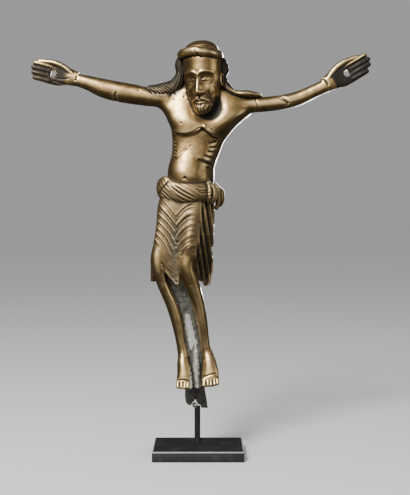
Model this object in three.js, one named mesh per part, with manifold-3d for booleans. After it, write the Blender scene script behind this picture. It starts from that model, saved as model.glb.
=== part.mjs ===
// Crucified figure, cast in copper alloy, on a black steel display mount.
// Millimetres, +Z up. The figure faces -Y. The origin is on the underside of the foot plate.
import * as THREE from "three";
import { mergeVertices } from "three/addons/utils/BufferGeometryUtils.js";
import Module from "manifold-3d";

// Driving sizes of the display mount
const plate = { wide: 45.6, deep: 32.5, thick: 5.2, chamfer: 0.5, x: 0.6, y: -0.75 };
const rod = { radius: 1.5, x: 0.1, y: 7.6, top: 23.4, sunk: 2, gap: 0.3, sides: 16 };
const rodTip = { radius: 1.35, x: -1.28, z: 23.8, sides: 10, rings: 6 };

// Driving sizes of the figure's trunk: outline seen from the front, and depth of front and back.
// The back is drawn out to the right, so that the flank on that side shows from the front.
const trunk = {
  sides: 34,
  steps: 22,
  frontRound: 2.35,
  backSquare: 4.5,
  flank: 4.7,
  underArm: { z: 161.5, reach: 4.5, more: 1.7 },
  rows: [
    { z: 131, left: -14.6, right: 5.6, front: -6, back: 7.4 },
    { z: 138, left: -15, right: 5.6, front: -8.4, back: 7 },
    { z: 142, left: -14.8, right: 5.6, front: -8.9, back: 6.6 },
    { z: 146, left: -14.4, right: 5.6, front: -8.2, back: 6.2 },
    { z: 150.5, left: -13.2, right: 7.1, front: -6.8, back: 6 },
    { z: 155, left: -12.6, right: 8.8, front: -6.1, back: 6 },
    { z: 160, left: -12.6, right: 9.9, front: -6, back: 6.2 },
    { z: 164.5, left: -12.9, right: 14, front: -6.6, back: 6.4 },
    { z: 169, left: -14.6, right: 19.4, front: -6.8, back: 6.6 },
    { z: 173.5, left: -16.9, right: 25, front: -6.4, back: 6.6 },
    { z: 178, left: -20.4, right: 27, front: -5.2, back: 6.6 },
    { z: 182.5, left: -17, right: 22, front: -4.2, back: 6.6 },
    { z: 186.5, left: -7, right: 11, front: -4.8, back: 6 },
    { z: 193, left: -4, right: 8.6, front: -6, back: 5 },
  ],
};
// Lower edges of the breast muscles: inner and outer end, and the sag between them
const chest = {
  left: { inner: [3.2, 165.6], outer: [-13, 164], sag: 3.3 },
  right: { inner: [3.2, 165], outer: [16, 159.6], sag: 2.6 },
  middle: 3.2,
  level: 163,
  bulge: 1.7,
  soft: 1.4,
};
const belly = { x: -4.6, z: 144, wide: 7.4, tall: 9, bulge: 1.1 };
const throat = { x: 5.4, z: 174.5, reach: 6.4, deep: 4 };
const ribs = { first: 157.6, pitch: 2.2, count: 5, slope: 0.35, depth: 0.5, inner: 5.4 };
const navel = { x: -5.9, z: 140.4, radius: 1.3, depth: 0.9 };

// Driving sizes of the arms: middle of each section, half height and half depth
const arm = {
  sides: 12,
  left: [
    { at: [-61.4, -0.6, 190.1], tall: 3, deep: 2.6 },
    { at: [-53.9, 0, 188], tall: 3.8, deep: 3.4 },
    { at: [-46.5, 0.4, 185.5], tall: 4.8, deep: 4.1 },
    { at: [-38.7, 0.6, 183.8], tall: 5.1, deep: 4.5 },
    { at: [-31, 0.8, 182.5], tall: 5, deep: 4.5 },
    { at: [-23.8, 1, 181.4], tall: 4.8, deep: 4.7 },
    { at: [-14, 1, 180.4], tall: 4.9, deep: 5 },
  ],
  right: [
    { at: [65.2, -0.6, 187.3], tall: 3.2, deep: 2.6 },
    { at: [59.6, 0, 184.5], tall: 3.35, deep: 3.1 },
    { at: [52.1, 0.4, 181.1], tall: 3.55, deep: 3.5 },
    { at: [45, 0.6, 179.1], tall: 3.7, deep: 3.8 },
    { at: [37, 0.8, 177.9], tall: 3.75, deep: 4 },
    { at: [28, 1, 177.3], tall: 3.9, deep: 4.4 },
    { at: [17, 1, 176.6], tall: 4.6, deep: 5 },
  ],
  steps: 11,
};

// Driving sizes of an open hand, from the wrist to the finger tips
const hand = {
  palmSides: 12,
  palmSteps: 6,
  palm: [
    { along: -1.5, up: 0, half: 3.6, thick: 2.4 },
    { along: 3, up: 0.1, half: 4.3, thick: 2.1 },
    { along: 8, up: 0, half: 5.6, thick: 1.7 },
    { along: 14.5, up: -0.2, half: 5.5, thick: 1.4 },
  ],
  finger: { count: 4, sides: 6, steps: 5, start: 12, width: 2.35, thick: 1.3 },
  thumbSides: 8,
  thumbSteps: 6,
  thumb: [
    { along: 0.4, up: 1.2, half: 1.5, thick: 1.6 },
    { along: 6, up: 4, half: 1.5, thick: 1.8 },
    { along: 12, up: 5, half: 1.45, thick: 1.7 },
    { along: 19, up: 4.1, half: 1.1, thick: 1.2 },
  ],
  nail: { along: 11, up: -0.3, radius: 1.7, sides: 12 },
};
const leftHand = { at: [-61.4, -0.6, 190.4], side: -1, tilt: 14, grow: 1, tips: [22, 22.4, 21.8, 20.6] };
const rightHand = { at: [65.2, -0.6, 187.6], side: 1, tilt: 30, grow: 1.03, tips: [23.8, 24.4, 23.4, 21] };

// Driving sizes of the head, in its own frame with the face towards -Y
const head = {
  at: [3.1, -4, 189.6],
  nod: 7,
  turn: -17,
  roll: -2,
  sides: 32,
  stepsPerRow: 1.4,
  crowd: 0.45,
  rows: [
    { z: 19, wide: 2.6, face: 2.4, nape: 2.6 },
    { z: 17.5, wide: 6.2, face: 5.9, nape: 6.2 },
    { z: 15, wide: 8.3, face: 8, nape: 8.6 },
    { z: 10.6, wide: 9.4, face: 9.1, nape: 9.8 },
    { z: 6, wide: 9.5, face: 9.3, nape: 10 },
    { z: 3, wide: 9.3, face: 9.2, nape: 9.6 },
    { z: 0.4, wide: 9.2, face: 9, nape: 9 },
    { z: -2.2, wide: 9, face: 9, nape: 8 },
    { z: -4.8, wide: 8.7, face: 9, nape: 7.2 },
    { z: -7.2, wide: 8.3, face: 9, nape: 6.6 },
    { z: -9.4, wide: 7.8, face: 8.8, nape: 6 },
    { z: -11.6, wide: 7, face: 8.4, nape: 5.4 },
    { z: -14, wide: 6, face: 7.8, nape: 4.6 },
    { z: -16.4, wide: 4.6, face: 6.4, nape: 3.4 },
    { z: -18.2, wide: 2.2, face: 3.8, nape: 1.6 },
  ],
};
const band = {
  x: -0.7,
  z: 13.8,
  wide: 9.5,
  deep: 9.2,
  tall: 2.15,
  thick: 1.9,
  arch: 1.7,
  fall: 3,
  tilt: 0.04,
  sides: 8,
  steps: 24,
};

// Driving sizes of the hair: middle of each section, half width across the lock and half thickness
const hair = {
  sides: 16,
  steps: 12,
  strands: 4,
  groove: 0.13,
  twist: 2.2,
  left: [
    { at: [-5.2, 1, 204], tall: 2, deep: 4.4 },
    { at: [-8, 1.4, 198], tall: 2.9, deep: 5 },
    { at: [-8.2, 1.6, 192.4], tall: 2.5, deep: 5 },
    { at: [-11.4, 1.2, 186.4], tall: 3.9, deep: 5 },
    { at: [-18, 0.6, 184.5], tall: 3.7, deep: 4.8 },
    { at: [-24.4, 0.4, 185.4], tall: 1.7, deep: 3.4 },
  ],
  right: [
    { at: [9.2, 1, 203.4], tall: 2.4, deep: 4.6 },
    { at: [12.4, 1.2, 197.6], tall: 2.8, deep: 5 },
    { at: [13.2, 1.4, 194.2], tall: 2.8, deep: 5 },
    { at: [12.6, 1.4, 191], tall: 2.3, deep: 4.8 },
    { at: [14.8, 1, 186.4], tall: 2.3, deep: 4.8 },
    { at: [19.6, 0.2, 183.1], tall: 1.6, deep: 5 },
    { at: [26, -0.6, 182.6], tall: 1.85, deep: 4.4 },
    { at: [31.6, -0.8, 182], tall: 0.9, deep: 3 },
  ],
  back: { at: [3, 3.6, 193], wide: 11.2, deep: 6.6, half: 14.6, sides: 16, steps: 8, flutes: 8, flute: 0.06 },
};

// Driving sizes of the loincloth
const waist = {
  sides: 10,
  steps: 40,
  middle: [-5, 0.4],
  z: 133.2,
  halfWide: 12.9,
  halfDeep: 8.2,
  tall: 5.1,
  thick: 2.6,
  plies: 3,
  turns: -6,
  ply: 0.11,
  rise: 2.3,
  corner: { angle: -2.5, width: 0.4, rise: 1.7 },
};
const knot = {
  sides: 8,
  steps: 9,
  bulge: 0.8,
  loops: [
    { x: 8, y: -4.2, top: 137, bottom: 128.6, half: 1.9, deep: 2 },
    { x: 10.5, y: 0, top: 137.4, bottom: 125.6, half: 1.15, deep: 2.2 },
    { x: 12, y: 2.6, top: 135.4, bottom: 127.2, half: 1.5, deep: 2.4 },
  ],
  // Twisted end of the cloth bound round the roll
  binding: [
    { at: [5.4, -3.6, 139.4], wide: 0.9, deep: 0.9 },
    { at: [6.1, -7.6, 136.4], wide: 0.95, deep: 0.8 },
    { at: [6.3, -8.6, 133.4], wide: 0.95, deep: 0.8 },
    { at: [6.2, -7.8, 130.2], wide: 0.9, deep: 0.8 },
    { at: [5.8, -4.6, 127.8], wide: 0.8, deep: 0.9 },
  ],
  bindingSides: 6,
};
const skirt = {
  sides: 42,
  folds: 11,
  wallRows: [
    { keep: 0.9, up: 0.1 },
    { keep: 0.82, up: 5 },
    { keep: 0.6, up: 7.5 },
  ],
  squareness: 2.7,
  top: 136,
  rows: [
    { z: 136, left: -17.6, right: 8, front: -7.4, back: 8 },
    { z: 126, left: -19.6, right: 9, front: -8.8, back: 8.2 },
    { z: 115, left: -20.4, right: 9, front: -9.4, back: 8.4 },
    { z: 104, left: -22.2, right: 8.8, front: -9.8, back: 8.4 },
    { z: 96, left: -23, right: 8.4, front: -9.2, back: 8.6 },
    { z: 86, left: -23.2, right: 8, front: -8.2, back: 8.8 },
  ],
  chevron: { x: -10.6, depth: 0.5, leftSlope: 1.35, rightSlope: 0.85, edge: 8.6, point: 86.4 },
  pleat: { count: 15, depth: 0.6 },
  // Right corner of the front, past which the cloth falls back: its x at each height
  corner: [[136, 3], [126, 2.2], [112, 1.2], [102, -0.9], [95, -2.8], [86, -4]],
  sideSlope: 1.75,
  cornerSoft: 0.8,
  level: 88.4,
  // Height of the hem in front at each x
  hem: [
    [-23.6, 90],
    [-22.8, 95.4],
    [-20.8, 96.6],
    [-18.4, 95.8],
    [-15, 91.6],
    [-12, 88.4],
    [-10.2, 86.9],
    [-8.2, 93],
    [-7, 96],
    [-5.6, 96.8],
    [-3, 95.6],
    [-0.6, 92.4],
    [2, 88.8],
    [4, 86.6],
    [5.7, 85.4],
    [7, 86.6],
    [8.2, 89.8],
  ],
  knees: { left: -20.2, right: -5.6, width: 3.4, z: 102, tall: 12, bulge: 1.5 },
};

// Driving sizes of the legs: middle of each section, half width and half depth
const leg = {
  sides: 12,
  steps: 11,
  left: [
    { at: [-17.4, -3.2, 108], wide: 4, deep: 4.8 },
    { at: [-19.9, -5.4, 99], wide: 3.4, deep: 4.6 },
    { at: [-17.4, -3.6, 88], wide: 2.95, deep: 4 },
    { at: [-13.2, -0.8, 78], wide: 3.1, deep: 4.3 },
    { at: [-10.7, 0.4, 70], wide: 3, deep: 4 },
    { at: [-8.7, 1.4, 60], wide: 2.6, deep: 3.2 },
    { at: [-7.2, 2, 50.4], wide: 2.5, deep: 3.1 },
  ],
  right: [
    { at: [-4.8, -3.4, 108], wide: 4.6, deep: 5 },
    { at: [-5.8, -5.4, 99], wide: 3.3, deep: 4.6 },
    { at: [-2.7, -3.4, 88], wide: 3.7, deep: 4.4 },
    { at: [0.2, -0.8, 78.6], wide: 3.4, deep: 4.6 },
    { at: [2, 0.4, 69], wide: 3.2, deep: 4.2 },
    { at: [3.5, 1.4, 59], wide: 2.7, deep: 3.3 },
    { at: [4.6, 2, 50.4], wide: 2.7, deep: 3.1 },
  ],
};

// Driving sizes of the feet, whose tops face the front, and of their toes
const foot = {
  sides: 12,
  steps: 5,
  left: [
    { at: [-7.2, 2, 53], wide: 2.5, deep: 3 },
    { at: [-7, 0, 47], wide: 3.1, deep: 3.4 },
    { at: [-6.4, -2.6, 41.6], wide: 3.7, deep: 2.8 },
    { at: [-6.3, -4.4, 38], wide: 4.2, deep: 1.9 },
  ],
  right: [
    { at: [4.7, 2, 53.6], wide: 2.7, deep: 3 },
    { at: [6, 0, 48.2], wide: 3.5, deep: 3.4 },
    { at: [6.8, -2.6, 43], wide: 4.1, deep: 2.8 },
    { at: [6.8, -4.4, 39.2], wide: 4.4, deep: 1.9 },
  ],
  toe: { count: 5, radius: 0.92, sides: 6, steps: 3, lower: 0.14, forward: 2.2, drop: 3 },
  // rise of the row of toes to the viewer's right
  slope: { left: 0, right: 0.15 },
};

// Driving sizes of the web, the block between the feet and the notched tang
const web = {
  y: 1.6,
  thick: 2.4,
  outline: [
    [-18, 94],
    [-3, 92],
    [2.6, 66],
    [3.6, 50],
    [3, 38],
    [-3.4, 38],
    [-6.6, 50],
    [-9, 66],
    [-14.2, 83.4],
    [-16.4, 88],
  ],
  slit: [
    [-5.3, 72.4],
    [-4.2, 70],
    [-3.1, 65.8],
    [-2, 61.2],
    [-0.8, 57.4],
    [-0.5, 54.9],
    [-1.7, 53],
    [-3.1, 54.4],
    [-4.1, 59],
    [-5.1, 65.8],
    [-5.6, 70.4],
  ],
};
const block = {
  sides: 9,
  rows: [
    { z: 56, x: -0.7, half: 1, front: 0.4 },
    { z: 52, x: -0.6, half: 2.2, front: -1 },
    { z: 46, x: -0.5, half: 2.7, front: -2.2 },
    { z: 40, x: -0.1, half: 2.2, front: -2.9 },
    { z: 34.4, x: 0.25, half: 1.7, front: -3.2 },
  ],
  back: 8,
};
const tang = {
  y: 7.6,
  thick: 2.4,
  outline: [
    [-6.1, 46],
    [3.6, 46],
    [3.8, 33],
    [4.7, 28],
    [5.5, 22.4],
    [1.95, 22.5],
    [1.95, 23.7],
    [0.6, 24.3],
    [0.1, 25],
    [-0.5, 25.8],
    [-0.9, 29.2],
    [-1.4, 26],
    [-2.2, 25.5],
    [-2.8, 24.7],
    [-3, 23.9],
    [-3.9, 23.8],
    [-5.3, 24.6],
    [-6, 26],
    [-6.3, 28.9],
  ],
};
const shortestEdge = 0.5;

const finish = {
  bronze: { color: 0x9a7a45, roughness: 0.38, metalness: 0.9 },
  steel: { color: 0x17181a, roughness: 0.5, metalness: 0.4 },
};

const wasm = await Module();
wasm.setup();

// Plain helpers
const smooth = (from, to, t) => THREE.MathUtils.smoothstep((t - from) / (to - from), 0, 1);
const hump = (t, middle, width) => Math.exp(-(((t - middle) / width) ** 2));
const turn = (fraction) => fraction * Math.PI * 2;
const power = (value, exponent) => Math.sign(value) * Math.abs(value) ** exponent;

// Value between pairs of a place and a value, in rising order of the places
function between(pairs, place) {
  const next = pairs.findIndex(([at]) => at > place);
  if (next <= 0) return pairs.at(next).at(1);
  const [[fromPlace, from], [toPlace, to]] = [pairs[next - 1], pairs[next]];
  return from + ((to - from) * (place - fromPlace)) / (toPlace - fromPlace);
}

// The greater of two values, blended over a soft width where they meet
const softMax = (a, b, soft) => Math.max(a, b) + soft * Math.log1p(Math.exp(-Math.abs(a - b) / soft));

// Smooth value of one key of a list of rows, at a place counted in rows
function valueAt(rows, key, place) {
  const i = THREE.MathUtils.clamp(Math.floor(place), 0, rows.length - 2);
  const t = place - i;
  const v = [i - 1, i, i + 1, i + 2].map((n) => rows[THREE.MathUtils.clamp(n, 0, rows.length - 1)][key]);
  const slopeA = (v[2] - v[0]) / 2;
  const slopeB = (v[3] - v[1]) / 2;
  return (
    v[1] * (2 * t ** 3 - 3 * t ** 2 + 1) +
    slopeA * (t ** 3 - 2 * t ** 2 + t) +
    v[2] * (3 * t ** 2 - 2 * t ** 3) +
    slopeB * (t ** 3 - t ** 2)
  );
}

// Closed skin over a grid of points: along goes from end to end, around goes once round the form
function skin(steps, sides, pointAt) {
  const points = [];
  const faces = [];
  for (let i = 0; i <= steps; i += 1) {
    for (let j = 0; j < sides; j += 1) {
      points.push(pointAt(i / steps, j / sides));
    }
  }
  for (let i = 0; i < steps; i += 1) {
    for (let j = 0; j < sides; j += 1) {
      const a = i * sides + j;
      const b = i * sides + ((j + 1) % sides);
      faces.push([a, b, a + sides], [b, b + sides, a + sides]);
    }
  }
  for (const [row, flip] of [[0, true], [steps, false]]) {
    const ring = points.slice(row * sides, (row + 1) * sides);
    const middle = ring.reduce((sum, p) => sum.add(p), new THREE.Vector3()).divideScalar(sides);
    const pole = points.push(middle) - 1;
    for (let j = 0; j < sides; j += 1) {
      const a = row * sides + j;
      const b = row * sides + ((j + 1) % sides);
      faces.push(flip ? [b, a, pole] : [a, b, pole]);
    }
  }
  return meshOf(points, faces);
}

// Ring-shaped skin, closed both ways
function ringSkin(steps, sides, pointAt) {
  const points = [];
  const faces = [];
  for (let i = 0; i < steps; i += 1) {
    for (let j = 0; j < sides; j += 1) {
      points.push(pointAt(i / steps, j / sides));
    }
  }
  for (let i = 0; i < steps; i += 1) {
    for (let j = 0; j < sides; j += 1) {
      const next = ((i + 1) % steps) * sides;
      const a = i * sides + j;
      const b = i * sides + ((j + 1) % sides);
      faces.push([a, b, next + j], [b, next + ((j + 1) % sides), next + j]);
    }
  }
  return meshOf(points, faces);
}

// Solid of points and faces, turned inside out where its volume comes out negative
function meshOf(points, faces) {
  let volume = 0;
  for (const [a, b, c] of faces) {
    volume += points[a].dot(new THREE.Vector3().crossVectors(points[b], points[c]));
  }
  const order = volume > 0 ? faces : faces.map(([a, b, c]) => [a, c, b]);
  const vertProperties = new Float32Array(points.flatMap((p) => p.toArray()));
  const triVerts = new Uint32Array(order.flat());
  return new wasm.Manifold(new wasm.Mesh({ numProp: 3, vertProperties, triVerts }));
}

// Solid of a three.js geometry
function solidOf(geometry) {
  const bare = geometry.clone();
  bare.deleteAttribute("normal");
  bare.deleteAttribute("uv");
  const merged = mergeVertices(bare, 1e-4);
  const vertProperties = new Float32Array(merged.attributes.position.array);
  const triVerts = new Uint32Array(merged.index.array);
  return new wasm.Manifold(new wasm.Mesh({ numProp: 3, vertProperties, triVerts }));
}

// Mesh with its shortest edges drawn together, where that leaves it closed and turns no face over
function withoutSlivers({ vertProperties, triVerts, numProp }) {
  const points = [];
  for (let i = 0; i < vertProperties.length; i += numProp) {
    points.push(new THREE.Vector3(...vertProperties.slice(i, i + 3)));
  }
  let faces = [];
  for (let i = 0; i < triVerts.length; i += 3) {
    faces.push([...triVerts.slice(i, i + 3)]);
  }
  const normal = (face, swap, place) => {
    const [a, b, c] = face.map((v) => (v === swap ? place : points[v]));
    return new THREE.Vector3().crossVectors(b.clone().sub(a), c.clone().sub(a));
  };
  for (let drawn = 1; drawn > 0; ) {
    drawn = 0;
    const around = points.map(() => []);
    faces.forEach((face) => face.forEach((v) => around[v].push(face)));
    const touched = new Set();
    const edges = faces.flatMap(([a, b, c]) => [[a, b], [b, c], [c, a]]).filter(([a, b]) => a < b);
    const length = ([a, b]) => points[a].distanceTo(points[b]);
    const short = edges.filter((edge) => length(edge) < shortestEdge).sort((p, q) => length(p) - length(q));
    for (const [a, b] of short) {
      const near = [a, b].map((v) => new Set(around[v].flat()));
      const shared = [...near[0]].filter((v) => near[1].has(v) && v !== a && v !== b);
      if (shared.length !== 2 || [...near[0], ...near[1]].some((v) => touched.has(v))) continue;
      const place = points[a].clone().lerp(points[b], 0.5);
      const kept = (v, other) => around[v].filter((face) => !face.includes(other));
      const turned = (v, other) =>
        kept(v, other).some((face) => {
          const before = normal(face, -1, place);
          const after = normal(face, v, place);
          return before.length() > 0.002 && after.dot(before) < 0.35 * after.length() * before.length();
        });
      if (turned(a, b) || turned(b, a)) continue;
      [...near[0], ...near[1]].forEach((v) => touched.add(v));
      around[b].forEach((face) => face.splice(face.indexOf(b), 1, a));
      points[a].copy(place);
      drawn += 1;
    }
    faces = faces.filter(([a, b, c]) => a !== b && b !== c && c !== a);
  }
  const used = [...new Set(faces.flat())];
  const order = new Map(used.map((v, i) => [v, i]));
  return {
    numProp: 3,
    vertProperties: new Float32Array(used.flatMap((v) => points[v].toArray())),
    triVerts: new Uint32Array(faces.flat().map((v) => order.get(v))),
  };
}

// Limb along a curve through the rows' middles, its sections upright to the curve and square to the depth
function limb(rows, { steps, sides, across, roundStart = 0, roundEnd = 0, shape = () => 1 }) {
  const middles = rows.map((row) => new THREE.Vector3(...row.at));
  const curve = new THREE.CatmullRomCurve3(middles, false, "centripetal");
  const capSteps = 3;
  const inner = steps - (roundStart ? capSteps : 0) - (roundEnd ? capSteps : 0);
  const depthWay = new THREE.Vector3(0, 1, 0);
  return skin(steps, sides, (along, around) => {
    const step = Math.round(along * steps) - (roundStart ? capSteps : 0);
    const t = THREE.MathUtils.clamp(step / inner, 0, 1);
    const before = step < 0 ? -step / capSteps : 0;
    const after = step > inner ? (step - inner) / capSteps : 0;
    const past = Math.max(before, after) * 0.97;
    const shrink = Math.sqrt(1 - past * past);
    const middle = curve.getPoint(t);
    const way = curve.getTangent(t);
    middle.addScaledVector(way, (after ? roundEnd : -roundStart) * past);
    const side = new THREE.Vector3().crossVectors(way, depthWay).normalize();
    const depth = new THREE.Vector3().crossVectors(side, way).normalize();
    const place = t * (rows.length - 1);
    const angle = turn(around);
    const size = shrink * shape(t, angle);
    return middle
      .addScaledVector(side, Math.cos(angle) * valueAt(rows, across, place) * size)
      .addScaledVector(depth, Math.sin(angle) * valueAt(rows, "deep", place) * size);
  });
}

// Flat piece with an outline seen from the front
function slab(outline, middleY, thick) {
  const shape = new THREE.Shape(outline.map(([x, z]) => new THREE.Vector2(x, z)));
  const geometry = new THREE.ExtrudeGeometry(shape, { depth: thick, bevelEnabled: false });
  geometry.rotateX(Math.PI / 2);
  geometry.translate(0, middleY + thick / 2, 0);
  return solidOf(geometry);
}

// Row of an outline form at a height, from smooth sides, front and back
function rowAt(rows, t) {
  const place = t * (rows.length - 1);
  return Object.fromEntries(Object.keys(rows[0]).map((key) => [key, valueAt(rows, key, place)]));
}

// Point of a squarish oval section
function ovalPoint(row, angle, squareness) {
  const c = power(Math.cos(angle), 2 / squareness);
  const s = power(Math.sin(angle), 2 / squareness);
  const middle = (row.left + row.right) / 2;
  const half = (row.right - row.left) / 2;
  const middleY = (row.front + row.back) / 2;
  const halfY = (row.back - row.front) / 2;
  return new THREE.Vector3(middle + half * c, middleY + halfY * s, row.z);
}

// Height of the lower edge of the breast muscles at a place across the chest
function breastEdge(x) {
  const { inner, outer, sag } = x < chest.middle ? chest.left : chest.right;
  const t = THREE.MathUtils.clamp((x - inner[0]) / (outer[0] - inner[0]), 0, 1);
  return inner[1] + (outer[1] - inner[1]) * t - sag * 4 * t * (1 - t);
}

function trunkSolid() {
  const { underArm } = trunk;
  return skin(trunk.steps, trunk.sides, (along, around) => {
    const row = rowAt(trunk.rows, along);
    const angle = turn(around);
    const point = ovalPoint(row, angle, Math.sin(angle) < 0 ? trunk.frontRound : trunk.backSquare);
    const front = smooth(0.1, 0.6, -Math.sin(angle));
    const middle = (row.left + row.right) / 2;
    point.z += front * (breastEdge(point.x) - chest.level) * hump(point.z, chest.level, 6);
    const above = point.z - breastEdge(point.x);
    const breast = chest.bulge * smooth(-0.4, chest.soft, above) * (1 - smooth(167, 178, point.z));
    const fromBelly = Math.hypot((point.x - belly.x) / belly.wide, (point.z - belly.z) / belly.tall);
    const swell = belly.bulge * hump(fromBelly, 0, 1);
    const hollow = throat.deep * hump(Math.hypot(point.x - throat.x, point.z - throat.z), 0, throat.reach);
    const off = Math.abs(point.x - middle);
    let rib = 0;
    for (let n = 0; n < ribs.count; n += 1) {
      rib += hump(point.z, ribs.first - n * ribs.pitch - ribs.slope * (off - ribs.inner), 0.6);
    }
    const side = smooth(ribs.inner - 3, ribs.inner, off);
    const pit = Math.hypot(point.x - navel.x, point.z - navel.z) / navel.radius;
    const dent = navel.depth * Math.exp(-pit * pit);
    const back = THREE.MathUtils.clamp((point.y - row.front) / (row.back - row.front), 0, 1) ** 1.5;
    const flank = trunk.flank + underArm.more * hump(point.z, underArm.z, underArm.reach);
    point.y -= front * (breast + swell - hollow - rib * ribs.depth * side - dent);
    point.x += flank * back * smooth(-0.6, 0.6, Math.cos(angle));
    return point;
  });
}

function armSolid(rows) {
  return limb(rows, { steps: arm.steps, sides: arm.sides, across: "tall" });
}

// Open hand with the palm to the front: along runs to the finger tips, up to the thumb's side
function handSolid({ at, side, tilt, grow, tips }) {
  const place = (along, up, out) => {
    const a = THREE.MathUtils.degToRad(tilt);
    const x = along * Math.cos(a) - up * Math.sin(a);
    const z = along * Math.sin(a) + up * Math.cos(a);
    return [at[0] + side * x * grow, at[1] - out * grow, at[2] + z * grow];
  };
  const palmRows = hand.palm.map((row) => ({
    at: place(row.along, row.up, 0),
    tall: row.half * grow,
    deep: row.thick * grow,
  }));
  const palmBuild = { steps: hand.palmSteps + 3, sides: hand.palmSides, across: "tall", roundEnd: 1.5 };
  let solid = limb(palmRows, palmBuild);
  const { finger, thumb, nail } = hand;
  for (let n = 0; n < finger.count; n += 1) {
    const up = (finger.count / 2 - n - 0.5) * finger.width - 0.7;
    const fingerRows = [finger.start, tips[n] - finger.width / 2].map((along, i) => ({
      at: place(along, up * (i ? 1.02 : 0.96), i ? 0.7 : 0.2),
      tall: (finger.width / 2 + 0.04) * grow * (i ? 0.92 : 1),
      deep: finger.thick * grow * (i ? 0.85 : 1),
    }));
    const build = { steps: finger.steps, sides: finger.sides, across: "tall", roundEnd: finger.width / 2 };
    solid = solid.add(limb(fingerRows, build));
  }
  const thumbRows = thumb.map((row) => ({
    at: place(row.along, row.up, 0.5),
    tall: row.half * grow,
    deep: row.thick * grow,
  }));
  const thumbBuild = { steps: hand.thumbSteps, sides: hand.thumbSides, across: "tall", roundEnd: 1.2 };
  solid = solid.add(limb(thumbRows, thumbBuild));
  const pin = new THREE.CylinderGeometry(nail.radius, nail.radius, 12, nail.sides);
  pin.translate(...place(nail.along, nail.up, 0));
  return solid.subtract(solidOf(pin));
}

// Face of a calm, even design: outward height above the plain egg of the head
function faceRelief(x, z) {
  const brow = 0.7 * hump(z, 2.6, 1.7) * hump(x, 0, 8);
  const sockets = -1.4 * (hump(x, 3.9, 2.5) + hump(x, -3.9, 2.5)) * hump(z, -0.4, 2.1);
  const lids = 0.9 * (hump(x, 3.9, 1.9) + hump(x, -3.9, 1.9)) * hump(z, -0.6, 1.1);
  const ridge = 2.3 * hump(x, 0, 1.5) * smooth(2.2, -5.6, z) * smooth(-8.2, -6.6, z);
  const wings = 0.9 * (hump(x, 1.7, 1.1) + hump(x, -1.7, 1.1)) * hump(z, -6.2, 1.1);
  const moustache = 0.8 * hump(x, 0, 4.4) * hump(z, -8.7, 0.9);
  const mouth = -0.9 * hump(x, 0, 3) * hump(z, -10, 0.6);
  const lip = 0.7 * hump(x, 0, 2.4) * hump(z, -11, 0.8);
  const beard = 1.5 * hump(x, 0, 5.5) * hump(z, -14.5, 2.8);
  return brow + sockets + lids + ridge * (1 - 0.25 * hump(z, 2, 3)) + wings + moustache + mouth + lip + beard;
}

function headSolid() {
  const steps = Math.round((head.rows.length - 1) * head.stepsPerRow);
  const skull = skin(steps, head.sides, (along, around) => {
    const row = rowAt(head.rows, along);
    const round = turn(around);
    const angle = round - head.crowd * Math.sin(round) - Math.PI / 2;
    const frontness = -Math.sin(angle);
    const x = Math.cos(angle) * row.wide;
    const y = Math.sin(angle) * (frontness > 0 ? row.face : row.nape);
    return new THREE.Vector3(x, y - faceRelief(x, row.z) * smooth(0.2, 0.6, frontness), row.z);
  });
  const roll = ringSkin(band.steps, band.sides, (around, across) => {
    const angle = turn(around);
    const inner = turn(across);
    const lift = band.z - band.arch * Math.cos(angle) ** 2 - band.fall * Math.max(0, Math.sin(angle));
    const x = band.x + Math.cos(angle) * (band.wide + Math.cos(inner) * band.thick);
    const y = Math.sin(angle) * (band.deep + Math.cos(inner) * band.thick);
    return new THREE.Vector3(x, y, lift - band.tilt * x + Math.sin(inner) * band.tall);
  });
  return skull.add(roll).rotate([head.nod, head.roll, head.turn]).translate(head.at);
}

// Lock of hair lying from the temple down to the shoulder, twisted like a rope
function lockSolid(rows, hand) {
  const shape = (t, angle) => 1 + hair.groove * Math.cos(hair.strands * (angle + hand * t * hair.twist));
  return limb(rows, { steps: hair.steps, sides: hair.sides, across: "tall", roundEnd: 1, shape });
}

function backHairSolid() {
  const { back } = hair;
  return skin(back.steps, back.sides, (along, around) => {
    const level = Math.cos(Math.PI * (0.05 + 0.9 * along));
    const angle = turn(around);
    const girth = Math.sqrt(1 - level * level) * (1 + back.flute * Math.cos(angle * back.flutes));
    const x = back.at[0] + Math.cos(angle) * back.wide * girth;
    const y = back.at[1] + Math.sin(angle) * back.deep * girth;
    return new THREE.Vector3(x, y, back.at[2] + level * back.half);
  });
}

// Rolled upper edge of the loincloth, twisted as a wrung cloth and fuller at the right hip
function waistSolid() {
  return ringSkin(waist.steps, waist.sides, (around, across) => {
    const angle = turn(around);
    const inner = turn(across);
    const hip = Math.max(0, -Math.cos(angle)) ** 2;
    const wrung = 0.25 + 0.75 * smooth(0.5, -0.2, Math.cos(angle));
    const swell = 1 + waist.ply * Math.cos(inner * waist.plies - angle * waist.turns) * wrung;
    const outX = waist.halfWide + Math.cos(inner) * waist.thick * swell;
    const outY = waist.halfDeep + Math.cos(inner) * waist.thick * swell;
    const { corner } = waist;
    const atCorner = hump(angle - turn(1), corner.angle, corner.width);
    const raised = corner.rise * atCorner * Math.max(0, Math.sin(inner));
    const tall = waist.tall * swell + raised;
    const x = waist.middle[0] + Math.cos(angle) * outX;
    const y = waist.middle[1] + Math.sin(angle) * outY;
    return new THREE.Vector3(x, y, waist.z + waist.rise * hip + Math.sin(inner) * tall);
  });
}

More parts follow.
